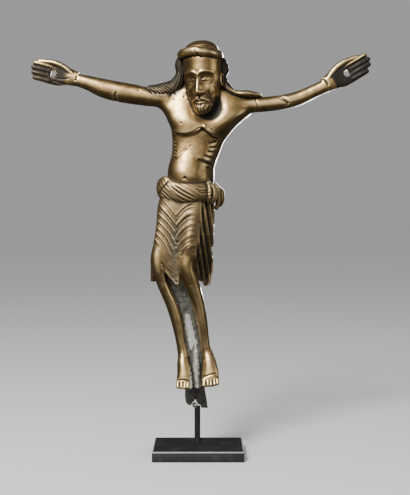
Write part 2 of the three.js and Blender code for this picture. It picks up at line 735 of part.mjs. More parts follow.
// Gathered loops where the cloth is tucked in over the left hip
function knotSolid() {
  const loops = knot.loops.map(({ x, y, top, bottom, half, deep }) => {
    const middle = (top + bottom) / 2;
    const rows = [
      { at: [x - 1.4, y, top], wide: half * 0.8, deep: deep * 0.8 },
      { at: [x + knot.bulge * 0.4, y, middle + (top - middle) * 0.5], wide: half, deep },
      { at: [x + knot.bulge * 0.5, y, middle - (top - middle) * 0.4], wide: half, deep },
      { at: [x - 0.6, y, bottom], wide: half * 0.85, deep: deep * 0.8 },
    ];
    return limb(rows, { steps: knot.steps, sides: knot.sides, across: "wide", roundStart: 1, roundEnd: 1.3 });
  });
  const binding = limb(knot.binding, { steps: knot.steps, sides: knot.bindingSides, across: "wide" });
  return loops.reduce((whole, loop) => whole.add(loop), binding);
}

// The cloth's rows follow its folds: nested Vs down the front, level round the sides and back.
// The lowest row is the hem, with its point between the legs and lifted over the knees.
function skirtSolid() {
  const { chevron, pleat, knees } = skirt;
  const corner = skirt.corner.toReversed();
  const steps = skirt.folds * 2 + 2;
  const lowest = skirt.rows.at(-1).z;
  const outer = (step, around) => {
    const along = step / steps;
    const angle = turn(around);
    const front = smooth(0.15, 0.55, -Math.sin(angle));
    const guide = ovalPoint(rowAt(skirt.rows, along), angle, skirt.squareness);
    const off = guide.x - chevron.x;
    const arms = off < 0 ? -off * chevron.leftSlope : Math.min(off, chevron.edge) * chevron.rightSlope;
    const onSide = smooth(0.7, 0.45, Math.sin(angle)) * smooth(-0.1, 0.2, Math.cos(angle));
    const reach = THREE.MathUtils.lerp(skirt.level, between(skirt.hem, guide.x), Math.max(front, onSide));
    const lift = reach - chevron.point;
    const steeper = front * (arms - lift * along) * smooth(0, 0.3, along) * smooth(1, 0.75, along);
    const z = Math.min(skirt.top - (skirt.top - reach) * along + steeper, skirt.top);
    const t = THREE.MathUtils.clamp((skirt.top - z) / (skirt.top - lowest), 0, 1);
    const row = { ...rowAt(skirt.rows, t), z };
    const point = ovalPoint(row, angle, skirt.squareness);
    const behind = row.front + skirt.sideSlope * (point.x - between(corner, z));
    if (Math.sin(angle) < 0.35) point.y = Math.min(softMax(behind, point.y, skirt.cornerSoft), row.back);
    const out = new THREE.Vector3(Math.cos(angle), Math.sin(angle), 0);
    const zone = front * smooth(chevron.edge + 1.5, chevron.edge - 1.5, off);
    const fold = chevron.depth * (step % 2 ? -1 : 1) * zone * smooth(0, 0.1, along);
    const flute = pleat.depth * Math.cos(angle * pleat.count) * (1 - zone) * smooth(0, 0.3, along);
    const knee = hump(guide.x, knees.left, knees.width) + hump(guide.x, knees.right, knees.width);
    const thigh = knees.bulge * knee * front * hump(z, knees.z, knees.tall);
    const valley = 1.3 * hump(off, 0, 3.4) * front * smooth(124, 110, z);
    return point.addScaledVector(out, fold + flute + thigh - valley);
  };
  const { wallRows } = skirt;
  return skin(steps + wallRows.length, skirt.sides, (along, around) => {
    const step = Math.round(along * (steps + wallRows.length));
    const point = outer(Math.min(step, steps), around);
    const wall = wallRows[step - steps - 1];
    if (wall) {
      point.lerp(new THREE.Vector3(-7.4, 0, point.z), 1 - wall.keep);
      point.z += wall.up;
    }
    return point;
  });
}

function legSolid(rows) {
  return limb(rows, { steps: leg.steps, sides: leg.sides, across: "wide" });
}

function footSolid(rows, slope) {
  const { toe } = foot;
  let solid = limb(rows, { steps: foot.steps + 3, sides: foot.sides, across: "wide", roundEnd: 0.8 });
  const end = rows.at(-1);
  for (let n = 0; n < toe.count; n += 1) {
    const x = end.at[0] + (n - (toe.count - 1) / 2) * ((end.wide * 2 - toe.radius * 1.4) / (toe.count - 1));
    const low = toe.lower * Math.abs(n - 2) - toe.drop + slope * (x - end.at[0]);
    const start = [x, end.at[1] - 0.5, end.at[2] + 0.6];
    const stop = [x, end.at[1] - toe.forward, end.at[2] + low];
    const toeRows = [start, stop].map((at) => ({ at, wide: toe.radius, deep: toe.radius * 1.35 }));
    const build = { steps: toe.steps + 1, sides: toe.sides, across: "wide", roundEnd: 0.7 };
    solid = solid.add(limb(toeRows, build));
  }
  return solid;
}

// Ridge of metal left between the feet
function blockSolid() {
  const { rows, back, sides } = block;
  return skin(rows.length - 1, sides, (along, around) => {
    const row = rowAt(rows, along);
    const angle = turn(around);
    const halfY = (back - row.front) / 2;
    const x = row.x + Math.cos(angle) * row.half;
    return new THREE.Vector3(x, row.front + halfY * (1 + Math.sin(angle)), row.z);
  });
}

function figureSolid() {
  const pieces = [
    trunkSolid(),
    armSolid(arm.left),
    armSolid(arm.right),
    handSolid(leftHand),
    handSolid(rightHand),
    headSolid(),
    lockSolid(hair.left, -1),
    lockSolid(hair.right, 1),
    backHairSolid(),
    waistSolid(),
    knotSolid(),
    skirtSolid(),
    legSolid(leg.left),
    legSolid(leg.right),
    slab(web.outline, web.y, web.thick).subtract(slab(web.slit, web.y, web.thick * 3)),
    blockSolid(),
    footSolid(foot.left, foot.slope.left),
    footSolid(foot.right, foot.slope.right),
    slab(tang.outline, tang.y, tang.thick),
  ];
  return withoutSlivers(pieces.reduce((whole, piece) => whole.add(piece)).getMesh());
}

// Round rod whose foot sits in the plate, with a bead of solder at its top
function rodSolid() {
  const foot = plate.thick - rod.sunk + rod.gap;
  const shaft = new THREE.CylinderGeometry(rod.radius, rod.radius, rod.top - foot, rod.sides);
  shaft.rotateX(Math.PI / 2);
  shaft.translate(rod.x, rod.y, (rod.top + foot) / 2);
  const bead = new THREE.SphereGeometry(rodTip.radius, rodTip.sides, rodTip.rings);
  bead.rotateX(Math.PI / 2);
  bead.translate(rodTip.x, rod.y, rodTip.z);
  return solidOf(shaft).add(solidOf(bead)).getMesh();
}

// Foot plate with chamfered edges and a socket for the rod
function plateSolid() {
  const level = (inset, z) => [
    [-plate.wide / 2 + inset, -plate.deep / 2 + inset, z],
    [plate.wide / 2 - inset, -plate.deep / 2 + inset, z],
    [plate.wide / 2 - inset, plate.deep / 2 - inset, z],
    [-plate.wide / 2 + inset, plate.deep / 2 - inset, z],
  ];
  const rows = [
    level(0, 0),
    level(0, plate.thick - plate.chamfer),
    level(plate.chamfer, plate.thick),
  ];
  const body = skin(rows.length - 1, 4, (along, around) => {
    const [x, y, z] = rows[Math.round(along * (rows.length - 1))][Math.round(around * 4) % 4];
    return new THREE.Vector3(x + plate.x, y + plate.y, z);
  });
  const socketRadius = rod.radius + rod.gap;
  const socket = new THREE.CylinderGeometry(socketRadius, socketRadius, rod.sunk * 2, rod.sides);
  socket.rotateX(Math.PI / 2);
  socket.translate(rod.x, rod.y, plate.thick);
  return body.subtract(solidOf(socket)).getMesh();
}

// Named mesh of a solid
function pieceOf(name, { vertProperties, triVerts, numProp }, { color, roughness, metalness }) {
  const geometry = new THREE.BufferGeometry();
  geometry.setAttribute("position", new THREE.BufferAttribute(new Float32Array(vertProperties), numProp));
  geometry.setIndex(new THREE.BufferAttribute(new Uint32Array(triVerts), 1));
  geometry.computeVertexNormals();
  const mesh = new THREE.Mesh(geometry, new THREE.MeshStandardMaterial({ color, roughness, metalness }));
  mesh.name = name;
  return mesh;
}

const model = new THREE.Group();
model.add(pieceOf("christ_figure", figureSolid(), finish.bronze));
model.add(pieceOf("stand_rod", rodSolid(), finish.steel));
model.add(pieceOf("stand_plate", plateSolid(), finish.steel));

export default model;
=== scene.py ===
# Crucified figure cast in copper alloy, on a black steel display mount.
# Sizes and places are in millimetres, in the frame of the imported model, and made metres at the end.
from functools import partial
import math

import bpy
import numpy as np
from mathutils import Euler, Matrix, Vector
from mathutils.geometry import tessellate_polygon


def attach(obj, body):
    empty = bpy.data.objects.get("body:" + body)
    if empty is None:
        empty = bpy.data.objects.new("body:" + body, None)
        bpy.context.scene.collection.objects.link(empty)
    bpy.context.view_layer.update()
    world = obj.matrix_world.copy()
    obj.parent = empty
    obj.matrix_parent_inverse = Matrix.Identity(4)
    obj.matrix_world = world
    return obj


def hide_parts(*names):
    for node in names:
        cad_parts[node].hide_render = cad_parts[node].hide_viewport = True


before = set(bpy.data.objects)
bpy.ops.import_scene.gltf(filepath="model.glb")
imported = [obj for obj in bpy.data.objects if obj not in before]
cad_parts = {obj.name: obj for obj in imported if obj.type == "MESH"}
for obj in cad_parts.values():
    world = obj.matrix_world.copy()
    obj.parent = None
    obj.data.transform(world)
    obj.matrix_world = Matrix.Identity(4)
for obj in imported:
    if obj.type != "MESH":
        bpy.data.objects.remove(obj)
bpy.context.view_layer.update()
mm = 0.001
print("frame loaded")


# Helpers for shapes

# Soft step from 0 to 1 while t goes from start to end
def softStep(start, end, t):
    k = np.clip((t - start) / (end - start), 0, 1)
    return k * k * (3 - 2 * k)


# Bell of height 1 round a middle
def bell(t, middle, width):
    return np.exp(-(((t - middle) / width) ** 2))


# Sign kept, size raised to a power: with sine and cosine it squares up an oval
def power(t, exponent):
    return np.sign(t) * np.abs(t) ** exponent


# The greater of two surfaces, blended over a soft width where they meet
def softMax(a, b, soft):
    return b + soft * np.logaddexp(0, (a - b) / soft)


# Rows of numbers read as smooth curves: between two rows each column is a cubic, and its slope at
# a row is half the step between that row's neighbours
def rowsAt(rows, place):
    rows = np.asarray(rows, float)
    last = len(rows) - 1
    i = np.clip(np.floor(place).astype(int), 0, last - 1)
    t = (place - i)[..., None]
    before, here, there, after = (rows[np.clip(i + k, 0, last)] for k in (-1, 0, 1, 2))
    slopeIn = (there - before) / 2
    slopeOut = (after - here) / 2
    return (here * (2 * t**3 - 3 * t**2 + 1) + slopeIn * (t**3 - 2 * t**2 + t)
            + there * (3 * t**2 - 2 * t**3) + slopeOut * (t**3 - t**2))


# Rows of an outline form read at even steps, one column to each name, ready for a grid
def outlineRows(rows, rings):
    read = rowsAt(rows, np.linspace(0, len(rows) - 1, rings))
    return [read[:, [k]] for k in range(read.shape[1])]


# Angles once round a form
def angles(sides):
    return np.linspace(0, 2 * np.pi, sides, endpoint=False)[None, :]


# Point grid of x, y and z, each of them whole or the same along its rows or columns
def grid(x, y, z):
    return np.stack(np.broadcast_arrays(x, y, z), axis=-1)


# Distance from a middle, in half widths across and half heights up
def ovalDistance(x, z, middle, wide, tall):
    return np.hypot((x - middle[0]) / wide, (z - middle[1]) / tall)


# Point grid of a squarish oval: middle plus half width times cos, and half depth times sin, both
# raised to 2 / squareness
def oval(left, right, front, back, angle, squareness):
    c = power(np.cos(angle), 2 / squareness)
    s = power(np.sin(angle), 2 / squareness)
    return (left + right) / 2 + (right - left) / 2 * c, (front + back) / 2 + (back - front) / 2 * s


# Triangles turned to face outward, where the volume that they close comes out negative
def outward(points, triangles):
    a, b, c = (points[triangles[:, k]] for k in range(3))
    volume = np.einsum("ij,ij->i", a, np.cross(b, c)).sum()
    return points, triangles if volume > 0 else triangles[:, ::-1]


# Closed skin over rings of points: squares between neighbouring rings, cut in two, and each end
# drawn to the middle of its ring
def closedSkin(rings):
    steps, sides = rings.shape[:2]
    ring = np.arange(steps * sides).reshape(steps, sides)
    beside = np.roll(ring, -1, axis=1)
    low = np.stack([ring[:-1], beside[:-1], beside[1:]], axis=-1).reshape(-1, 3)
    high = np.stack([ring[:-1], beside[1:], ring[1:]], axis=-1).reshape(-1, 3)
    first = np.stack([beside[0], ring[0], np.full(sides, steps * sides)], axis=-1)
    last = np.stack([ring[-1], beside[-1], np.full(sides, steps * sides + 1)], axis=-1)
    points = np.concatenate([rings.reshape(-1, 3), rings[[0, -1]].mean(axis=1)])
    return outward(points, np.concatenate([low, high, first, last]))


# Ring-shaped skin, closed both ways round
def ringSkin(rings):
    steps, sides = rings.shape[:2]
    ring = np.arange(steps * sides).reshape(steps, sides)
    beside = np.roll(ring, -1, axis=1)
    after, across = np.roll(ring, -1, axis=0), np.roll(beside, -1, axis=0)
    low = np.stack([ring, beside, across], axis=-1).reshape(-1, 3)
    high = np.stack([ring, across, after], axis=-1).reshape(-1, 3)
    return outward(rings.reshape(-1, 3), np.concatenate([low, high]))


# Limb: an oval section carried along a smooth path through rows of x, y, z, half width and half
# depth. A point is the path's place, plus half width times cos(angle) across it, plus half depth
# times sin(angle). Each end may close in a quarter round, and swell(t, angle) scales the section.
def limb(rows, rings=110, sides=72, startRound=0, endRound=0, swell=None):
    t = np.linspace(0, 1, rings)
    read = rowsAt(rows, t * (len(rows) - 1))
    way = np.gradient(read[:, :3], axis=0)
    way /= np.linalg.norm(way, axis=1, keepdims=True)
    whole = [read, way, np.ones(rings), t]
    quarter = np.linspace(0, 1.5, 14)[1:]  # just short of a right angle
    for length, end, sign in ((startRound, 0, -1), (endRound, -1, 1)):
        if length:
            read, way, _, t = whole
            cap = np.repeat(read[[end]], len(quarter), axis=0)
            cap[:, :3] += sign * length * np.sin(quarter)[:, None] * way[end]
            ways = np.repeat(way[[end]], len(quarter), axis=0)
            parts = (cap, ways, np.cos(quarter), np.full(len(quarter), t[end]))
            whole = [np.concatenate([part[::-1], old] if end == 0 else [old, part])
                     for part, old in zip(parts, whole)]
    read, way, size, t = whole
    across = np.cross(way, (0, 1, 0))
    across /= np.linalg.norm(across, axis=1, keepdims=True)
    deep = np.cross(across, way)
    angle = angles(sides)
    scale = size[:, None] * (swell(t[:, None], angle) if swell else 1)
    wide = (read[:, [3]] * np.cos(angle) * scale)[..., None] * across[:, None]
    thick = (read[:, [4]] * np.sin(angle) * scale)[..., None] * deep[:, None]
    return closedSkin(read[:, None, :3] + wide + thick)


# Flat piece between two levels of depth: its outlines, seen from the front, as caps of triangles
# and a wall round each. The first outline is the edge, and any others are openings in it.
def slab(outlines, middleY, thick):
    flat = np.concatenate([np.asarray(outline, float) for outline in outlines])
    corners = [[Vector((x, z, 0)) for x, z in outline] for outline in outlines]
    cap = np.array(tessellate_polygon(corners))
    count = len(flat)
    front = np.column_stack([flat[:, 0], np.full(count, middleY - thick / 2), flat[:, 1]])
    walls = []
    start = 0
    for outline in outlines:
        a = start + np.arange(len(outline))
        b = np.roll(a, -1)
        walls += [np.column_stack([a, b, b + count]), np.column_stack([a, b + count, a + count])]
        start += len(outline)
    return np.concatenate([front, front + (0, thick, 0)]), np.concatenate([cap,
                                                                           cap[:, ::-1] + count]
                                                                          + walls)


# Smooth noise from -1 to 1: random values on a lattice of a given cell size, read between its
# corners with soft steps along each axis
def roughness(points, cell, seed):
    lattice = np.random.default_rng(seed).uniform(-1, 1, (16, 16, 16))
    place = points / cell
    low = np.floor(place).astype(int)
    part = place - low
    part = part * part * (3 - 2 * part)
    value = 0
    for corner in np.ndindex(2, 2, 2):
        weight = np.prod(np.where(corner, part, 1 - part), axis=1)
        value = value + weight * lattice[tuple(((low + corner) % 16).T)]
    return value


# Blender mesh object of points and triangles
def makePiece(name, points, triangles):
    mesh = bpy.data.meshes.new(name)
    mesh.vertices.add(len(points))
    mesh.vertices.foreach_set("co", np.ascontiguousarray(points, np.float32).ravel())
    mesh.loops.add(triangles.size)
    mesh.loops.foreach_set("vertex_index", np.ascontiguousarray(triangles, np.int32).ravel())
    mesh.polygons.add(len(triangles))
    mesh.polygons.foreach_set("loop_start", np.arange(0, triangles.size, 3, dtype=np.int32))
    mesh.update(calc_edges=True)
    piece = bpy.data.objects.new(name, mesh)
    bpy.context.scene.collection.objects.link(piece)
    return piece


# Several closed forms as one mesh
def joined(forms):
    offsets = np.cumsum([0] + [len(points) for points, _ in forms])
    return (np.concatenate([points for points, _ in forms]),
            np.concatenate([triangles + offset for (_, triangles), offset in zip(forms, offsets)]))


# Modifier worked into a piece's mesh at once
def shaped(piece, kind, **values):
    modifier = piece.modifiers.new(kind.title(), kind)
    for key, value in values.items():
        setattr(modifier, key, value)
    graph = bpy.context.evaluated_depsgraph_get()
    mesh = bpy.data.meshes.new_from_object(piece.evaluated_get(graph))
    old = piece.data
    piece.modifiers.clear()
    piece.data = mesh
    bpy.data.meshes.remove(old)


# Numbers of every vertex or edge, as rows
def readRows(collection, key, width, kind=np.float32):
    values = np.empty(len(collection) * width, kind)
    collection.foreach_get(key, values)
    return values.reshape(-1, width)


# A piece's points and triangles as a closed form
def meshForm(piece):
    return (readRows(piece.data.vertices, "co", 3).astype(float),
            readRows(piece.data.polygons, "vertices", 3, np.int32))


# New places for a piece's points
def movePoints(piece, points):
    piece.data.vertices.foreach_set("co", points.astype(np.float32).ravel())


# A number from 0 to 1 at each vertex, for the piece's material to read
def addMask(piece, name, values):
    mask = piece.data.attributes.new(name, "FLOAT", "POINT")
    mask.data.foreach_set("value", values.astype(np.float32))


# Another piece taken out of this one, and then thrown away
def cutBy(piece, tool):
    shaped(piece, "BOOLEAN", operation="DIFFERENCE", solver="EXACT", object=tool)
    bpy.data.objects.remove(tool)


# Torso: sections rounded in front and square behind, drawn out to the right at the back, so that
# the flank on that side shows
torso = dict(
    rings=300, sides=400, frontRound=2.35, backSquare=4.5,
    # how far the flank is drawn out and how that grows towards the back; level, reach and extra
    # width under the arm
    flank=4.7, flankCurve=1.5, underArm=(161.5, 4.5, 1.7),
    # height, left edge, right edge, front, back
    rows=[(131, -14.6, 5.6, -6, 7.4), (138, -15, 5.6, -8.4, 7), (142, -14.8, 5.6, -8.9, 6.6),
          (146, -14.4, 5.6, -8.2, 6.2), (150.5, -13.2, 7.1, -6.8, 6), (155, -12.6, 8.8, -6.1, 6),
          (160, -12.6, 9.9, -6, 6.2), (164.5, -12.9, 14, -6.6, 6.4), (169, -14.6, 19.4, -6.8, 6.6),
          (173.5, -16.9, 25, -6.4, 6.6), (178, -20.4, 27, -5.2, 6.6), (182.5, -17, 22, -4.2, 6.6),
          (186.5, -7, 11, -4.8, 6), (193, -4, 8.6, -6, 5)],
    # each breast's lower edge: inner end, outer end, and how far it sags between them
    leftBreast=((3.2, 165.6), (-13, 164), 3.3), rightBreast=((3.2, 165), (16, 159.6), 2.6),
    breastBulge=1.7, breastFade=(167, 178),
    # middle, half width, half height and how far each stands out or falls in
    belly=((-4.6, 144), 7.4, 9, 1.1), throat=((5.4, 174.5), 6.4, 6.4, 4),
)


# Height of the breasts' lower edge across the chest: a straight line with a parabola's sag
def breastEdge(x):
    heights = []
    for (innerX, innerZ), (outerX, outerZ), sag in (torso["leftBreast"], torso["rightBreast"]):
        t = np.clip((x - innerX) / (outerX - innerX), 0, 1)
        heights.append(innerZ + (outerZ - innerZ) * t - sag * 4 * t * (1 - t))
    return np.where(x < torso["leftBreast"][0][0], *heights)


# The section at each height, pushed forward over the breasts and the belly and in at the throat
def torsoForm():
    z, left, right, front, back = outlineRows(torso["rows"], torso["rings"])
    angle = angles(torso["sides"])
    square = np.where(np.sin(angle) < 0, torso["frontRound"], torso["backSquare"])
    x, y = oval(left, right, front, back, angle, square)
    z = z + 0 * x
    facing = softStep(0.1, 0.6, -np.sin(angle))
    breast = torso["breastBulge"] * softStep(-0.4, 1, z - breastEdge(x))
    breast = breast * (1 - softStep(*torso["breastFade"], z))
    belly, throat = (depth * bell(ovalDistance(x, z, *place), 0, 1)
                     for *place, depth in (torso["belly"], torso["throat"]))
    level, reach, more = torso["underArm"]
    rearward = np.clip((y - front) / (back - front), 0, 1) ** torso["flankCurve"]
    out = (torso["flank"] + more * bell(z, level, reach)) * rearward
    out = out * softStep(-0.6, 0.6, np.cos(angle))
    return closedSkin(grid(x + out, y - facing * (breast + belly - throat), z))


# Arms: middle of each section, half height and half depth
arms = dict(
    left=[(-61.4, -0.6, 190.1, 3, 2.6), (-53.9, 0, 188, 3.8, 3.4), (-46.5, 0.4, 185.5, 4.8, 4.1),
          (-38.7, 0.6, 183.8, 5.1, 4.5), (-31, 0.8, 182.5, 5, 4.5), (-23.8, 1, 181.4, 4.8, 4.7),
          (-14, 1, 180.4, 4.9, 5)],
    right=[(65.2, -0.6, 187.3, 3.2, 2.6), (59.6, 0, 184.5, 3.35, 3.1),
           (52.1, 0.4, 181.1, 3.55, 3.5), (45, 0.6, 179.1, 3.7, 3.8), (37, 0.8, 177.9, 3.75, 4),
           (28, 1, 177.3, 3.9, 4.4), (17, 1, 176.6, 4.6, 5)],
)

# Open hands, palms to the front: along runs from the wrist to the finger tips, up to the thumb
hands = dict(
    left=dict(at=(-61.4, -0.6, 190.4), side=-1, tilt=14, grow=1, fingerTips=(22, 22.4, 21.8, 20.6)),
    right=dict(at=(65.2, -0.6, 187.6), side=1, tilt=30, grow=1.03,
               fingerTips=(23.8, 24.4, 23.4, 21)),
    # along, up, half width, half thickness
    palm=[(-1.5, 0, 3.6, 2.4), (3, 0.1, 4.3, 2.1), (8, 0, 5.6, 1.7), (14.5, -0.2, 5.5, 1.4)],
    # where the fingers start, their width and thickness, and how far their row's middle lies below
    # the palm's
    fingerStart=12, fingerWidth=2.35, fingerThick=1.3, fingerDrop=0.7,
    thumb=[(0.4, 1.2, 1.5, 1.6), (6, 4, 1.5, 1.8), (12, 5, 1.45, 1.7), (19, 4.1, 1.1, 1.2)],
    # nail hole: its place, radius and how far the pin that cuts it reaches each way
    nail=(11, -0.3), nailRadius=1.7, pinReach=6,
    # ridge round the hole, hollow of the palm, and how dark each palm is painted, with dirt and with
    # painted shade, deeper on the right one
    rim=dict(radius=2.5, width=0.45, height=0.1),
    dish=dict(middle=(10, -0.2), wide=5, tall=3.4, deep=0.75), dirtAndShade=dict(left=0.6, right=0.85),
)


# Place in a hand's own directions: along and up turned by the tilt, out towards the front
def handPlace(hand, along, up, out):
    tilt = math.radians(hand["tilt"])
    x = along * math.cos(tilt) - up * math.sin(tilt)
    z = along * math.sin(tilt) + up * math.cos(tilt)
    x0, y0, z0 = hand["at"]
    return x0 + hand["side"] * x * hand["grow"], y0 - out * hand["grow"], z0 + z * hand["grow"]


# A palm pierced by its nail hole, four straight fingers and a thumb laid along the upper edge
def handForms(hand):
    grow = hand["grow"]
    row = lambda along, up, out, half, thick: (
        *handPlace(hand, along, up, out), half * grow, thick * grow)
    palmRows = [row(along, up, 0, half, thick) for along, up, half, thick in hands["palm"]]
    palm = makePiece("palm", *limb(palmRows, rings=60, sides=60, endRound=1.5))
    pinX, pinY, pinZ = handPlace(hand, *hands["nail"], 0)
    angle, radius, reach = angles(40), hands["nailRadius"], hands["pinReach"]
    turn = grid(pinX + radius * np.cos(angle), 0, pinZ + radius * np.sin(angle))
    ends = [turn + (0, pinY + out, 0) for out in (-reach, reach)]
    cutBy(palm, makePiece("pin", *closedSkin(np.concatenate(ends))))
    shaped(palm, "TRIANGULATE")
    forms = [meshForm(palm)]
    bpy.data.objects.remove(palm)
    start, width, thick = (hands[key] for key in ("fingerStart", "fingerWidth", "fingerThick"))
    for n, tip in enumerate(hand["fingerTips"]):
        up = (1.5 - n) * width - hands["fingerDrop"]
        rows = [row(start, up * 0.96, 0.2, width * 0.6, thick),
                row((start + tip) / 2, up, 0.6, width * 0.58, thick),
                row(tip - width / 2, up * 1.02, 0.7, width * 0.5, thick * 0.85)]
        forms.append(limb(rows, rings=40, sides=32, endRound=width / 2))
    thumbRows = [row(along, up, 0.5, half, thick) for along, up, half, thick in hands["thumb"]]
    return forms + [limb(thumbRows, rings=60, sides=40, endRound=1.2)]


# Head in its own frame, the face towards -Y. The face is a plain one of even proportions: eyes
# half way down the head, and brow, foot of the nose and chin at even thirds below the hair.
head = dict(
    at=(3.1, -4, 189.6), nod=7, turn=-17, roll=-2, rings=280, sides=340, crowd=0.45,
    # height, half width, depth of face, depth of nape
    rows=[(19, 2.6, 2.4, 2.6), (17.5, 6.2, 5.9, 6.2), (15, 8.3, 8, 8.6), (10.6, 9.4, 9.1, 9.8),
          (6, 9.5, 9.3, 10), (3, 9.3, 9.2, 9.6), (0.4, 9.2, 9, 9), (-2.2, 8.9, 9, 8),
          (-4.8, 8.4, 9, 7.2), (-7.2, 7.8, 9, 6.6), (-9.4, 7.2, 8.8, 6), (-11.6, 6.5, 8.4, 5.4),
          (-14, 5.5, 7.8, 4.6), (-16.4, 4.2, 6.4, 3.4), (-18.2, 2.1, 3.8, 1.6)],
    eye=dict(x=3.9, z=-0.3, half=2.3, upper=1.15, lower=0.85),
    brow=3, noseRoot=2.4, noseTip=-5.8, noseFoot=-7.6, mouth=-10.6, beardStrands=0.56,
)


# Height of the face above the plain egg of the head: a sum of bells, the same on both sides
def faceHeight(x, z):
    side = np.abs(x)
    eye = head["eye"]
    acrossEye = np.clip((side - eye["x"]) / eye["half"], -1.3, 1.3)
    inEye = softStep(1.12, 0.8, np.abs(acrossEye))
    arch = 1 - acrossEye**2
    upperLid = eye["z"] + eye["upper"] * arch
    lowerLid = eye["z"] - eye["lower"] * arch
    slit = eye["z"] - 0.2 - 0.5 * arch
    browLine = head["brow"] + 0.9 * (1 - np.clip((side - 4) / 3.4, -1.2, 1.2) ** 2)
    height = 0.6 * bell(z, browLine, 0.8) * softStep(0.3, 1.6, side) * softStep(8.4, 6.6, side)
    height += 0.5 * bell(z, 4.6, 2.4) * bell(side, 0, 6)  # forehead
    height -= 1.75 * bell(side, 3.9, 2.8) * bell(z, 0, 1.9)  # eye sockets
    ball = np.clip(1 - ((side - eye["x"]) / 2.9) ** 2 - ((z - eye["z"]) / 2) ** 2, 0, 1)
    height += 0.95 * softStep(0, 1, ball)
    lids = 0.5 * bell(z, slit, 0.27) + 0.4 * bell(z, upperLid + 0.15, 0.3)
    height -= inEye * (lids + 0.22 * bell(z, lowerLid - 0.2, 0.3))
    down = softStep(head["noseRoot"], head["noseTip"], z)
    wide = 1.25 + 0.7 * down
    tipEnd = softStep(head["noseFoot"], head["noseTip"] - 0.3, z)
    height += (0.9 + 2.1 * down) * bell(side, 0, wide) * tipEnd * softStep(4.4, 2, z)
    height += 0.5 * bell(np.hypot(side, z - head["noseTip"]), 0, 1.2)
    height += 0.75 * bell(np.hypot(side - 1.6, (z + 6.3) * 0.9), 0, 0.85)  # wings of the nose
    wing = np.hypot(side - 1.7, (z + 6.2) * 0.9)
    height -= 0.25 * bell(wing, 1.35, 0.3) * softStep(1.2, 2.4, side)
    height += 0.7 * bell(side, 5.5, 2) * bell(z, -4.4, 2.4)  # cheekbones
    fold = 2.5 + (-6.2 - z) * 0.5  # from the nose's wing down to the mouth's corner
    height -= 0.3 * bell(side, fold, 0.5) * softStep(-5.6, -6.6, z) * softStep(-10.6, -9.4, z)
    height -= 0.22 * bell(x, 0, 0.45) * bell(z, -8.7, 0.7)  # groove over the lip
    whiskers = -9.1 - 0.1 * side**2
    combed = 1 + 0.35 * np.cos(6 * (side - 0.5 * z))
    height += (0.55 * bell(z, whiskers, 0.62) * softStep(0.1, 0.9, side)
               * softStep(4.8, 3.6, side) * combed)
    lipLine = head["mouth"] - 0.06 * np.cos(side * 1.3)
    height -= 0.75 * bell(z, lipLine, 0.27) * softStep(3.1, 2.1, side)
    height += 0.35 * bell(z, lipLine + 0.55, 0.36) * bell(side, 0, 1.7)
    height += 0.6 * bell(z, lipLine - 0.75, 0.5) * bell(side, 0, 1.7)
    height -= 0.4 * bell(z, -12.5, 0.45) * bell(side, 0, 1.7)  # hollow under the lip
    chin = bell(side, 0, 4.6) * bell(z, -15, 2.3)
    jaw = softStep(-1, -3.5, z + 1.55 * (side - 8.2)) * softStep(4.6, 6.4, side)
    beard = np.clip(chin + jaw * softStep(-3.5, -7, z) + softStep(-11.8, -13.4, z), 0, 1)
    waves = x * head["beardStrands"] + 0.32 * np.sin(0.8 * z + 0.6 * side)
    strand = np.cos(2 * np.pi * waves * (1 - 0.012 * z))
    return height + 1.1 * chin + beard * (0.45 + 0.26 * strand)


# Place of points of the head's own frame in the figure's
def headPlace(points):
    turned = Euler([math.radians(head[key]) for key in ("nod", "roll", "turn")], "XYZ").to_matrix()
    return points @ np.array(turned).T + head["at"]


# The egg of the head with the face's height in front and combed hair over the crown and nape
def skullForm():
    z, wide, face, nape = outlineRows(head["rows"], head["rings"])
    turn = angles(head["sides"])
    angle = turn - head["crowd"] * np.sin(turn) - np.pi / 2
    ahead = -np.sin(angle)
    x = np.cos(angle) * wide
    y = np.sin(angle) * np.where(ahead > 0, face, nape)
    y = y - faceHeight(x, z) * softStep(0.2, 0.55, ahead) * softStep(13, 10, z)
    combed = 0.12 * np.cos(26 * angle + 0.25 * z) * softStep(0.1, -0.3, ahead) * softStep(15, 13, z)
    combed = combed + 0.1 * np.cos(5.2 * z + 0.8 * ahead) * softStep(14, 15, z)
    out = 1 + combed / 9
    points, triangles = closedSkin(grid(x * out, y * out, z))
    return headPlace(points), triangles


# Rolled headband: an oval roll that rises over the brow, dips at the sides and falls behind
headband = dict(
    x=-0.7, z=13.8, wide=9.5, deep=9.2, tall=2.15, thick=1.9, arch=1.7, fall=3, tilt=0.04,
    lump=0.035, rings=260, sides=60,
)


def headbandForm():
    angle = angles(headband["rings"]).T
    across = angles(headband["sides"])
    level = headband["z"] - headband["arch"] * np.cos(angle) ** 2
    level = level - headband["fall"] * np.maximum(0, np.sin(angle))
    plump = 1 + headband["lump"] * np.cos(9 * angle + 2 * across)
    thick = np.cos(across) * headband["thick"] * plump
    x = headband["x"] + np.cos(angle) * (headband["wide"] + thick)
    y = np.sin(angle) * (headband["deep"] + thick)
    z = level - headband["tilt"] * x + np.sin(across) * headband["tall"] * plump
    points, triangles = ringSkin(grid(x, y, z))
    return headPlace(points), triangles


# Ear: a small flat ring set on the side of the head
ear = dict(x=9.3, y=1.2, z=-0.6, tall=2.7, deep=1.6, rim=0.62, flare=0.25)


def earForm(side):
    angle = angles(60).T
    across = angles(20)
    y = ear["y"] + np.cos(angle) * (ear["deep"] + ear["rim"] * np.cos(across))
    z = ear["z"] + np.sin(angle) * (ear["tall"] + ear["rim"] * np.cos(across))
    x = side * (ear["x"] + ear["rim"] * np.sin(across) + ear["flare"] * np.cos(angle))
    points, triangles = ringSkin(grid(x, y, z))
    return headPlace(points), triangles


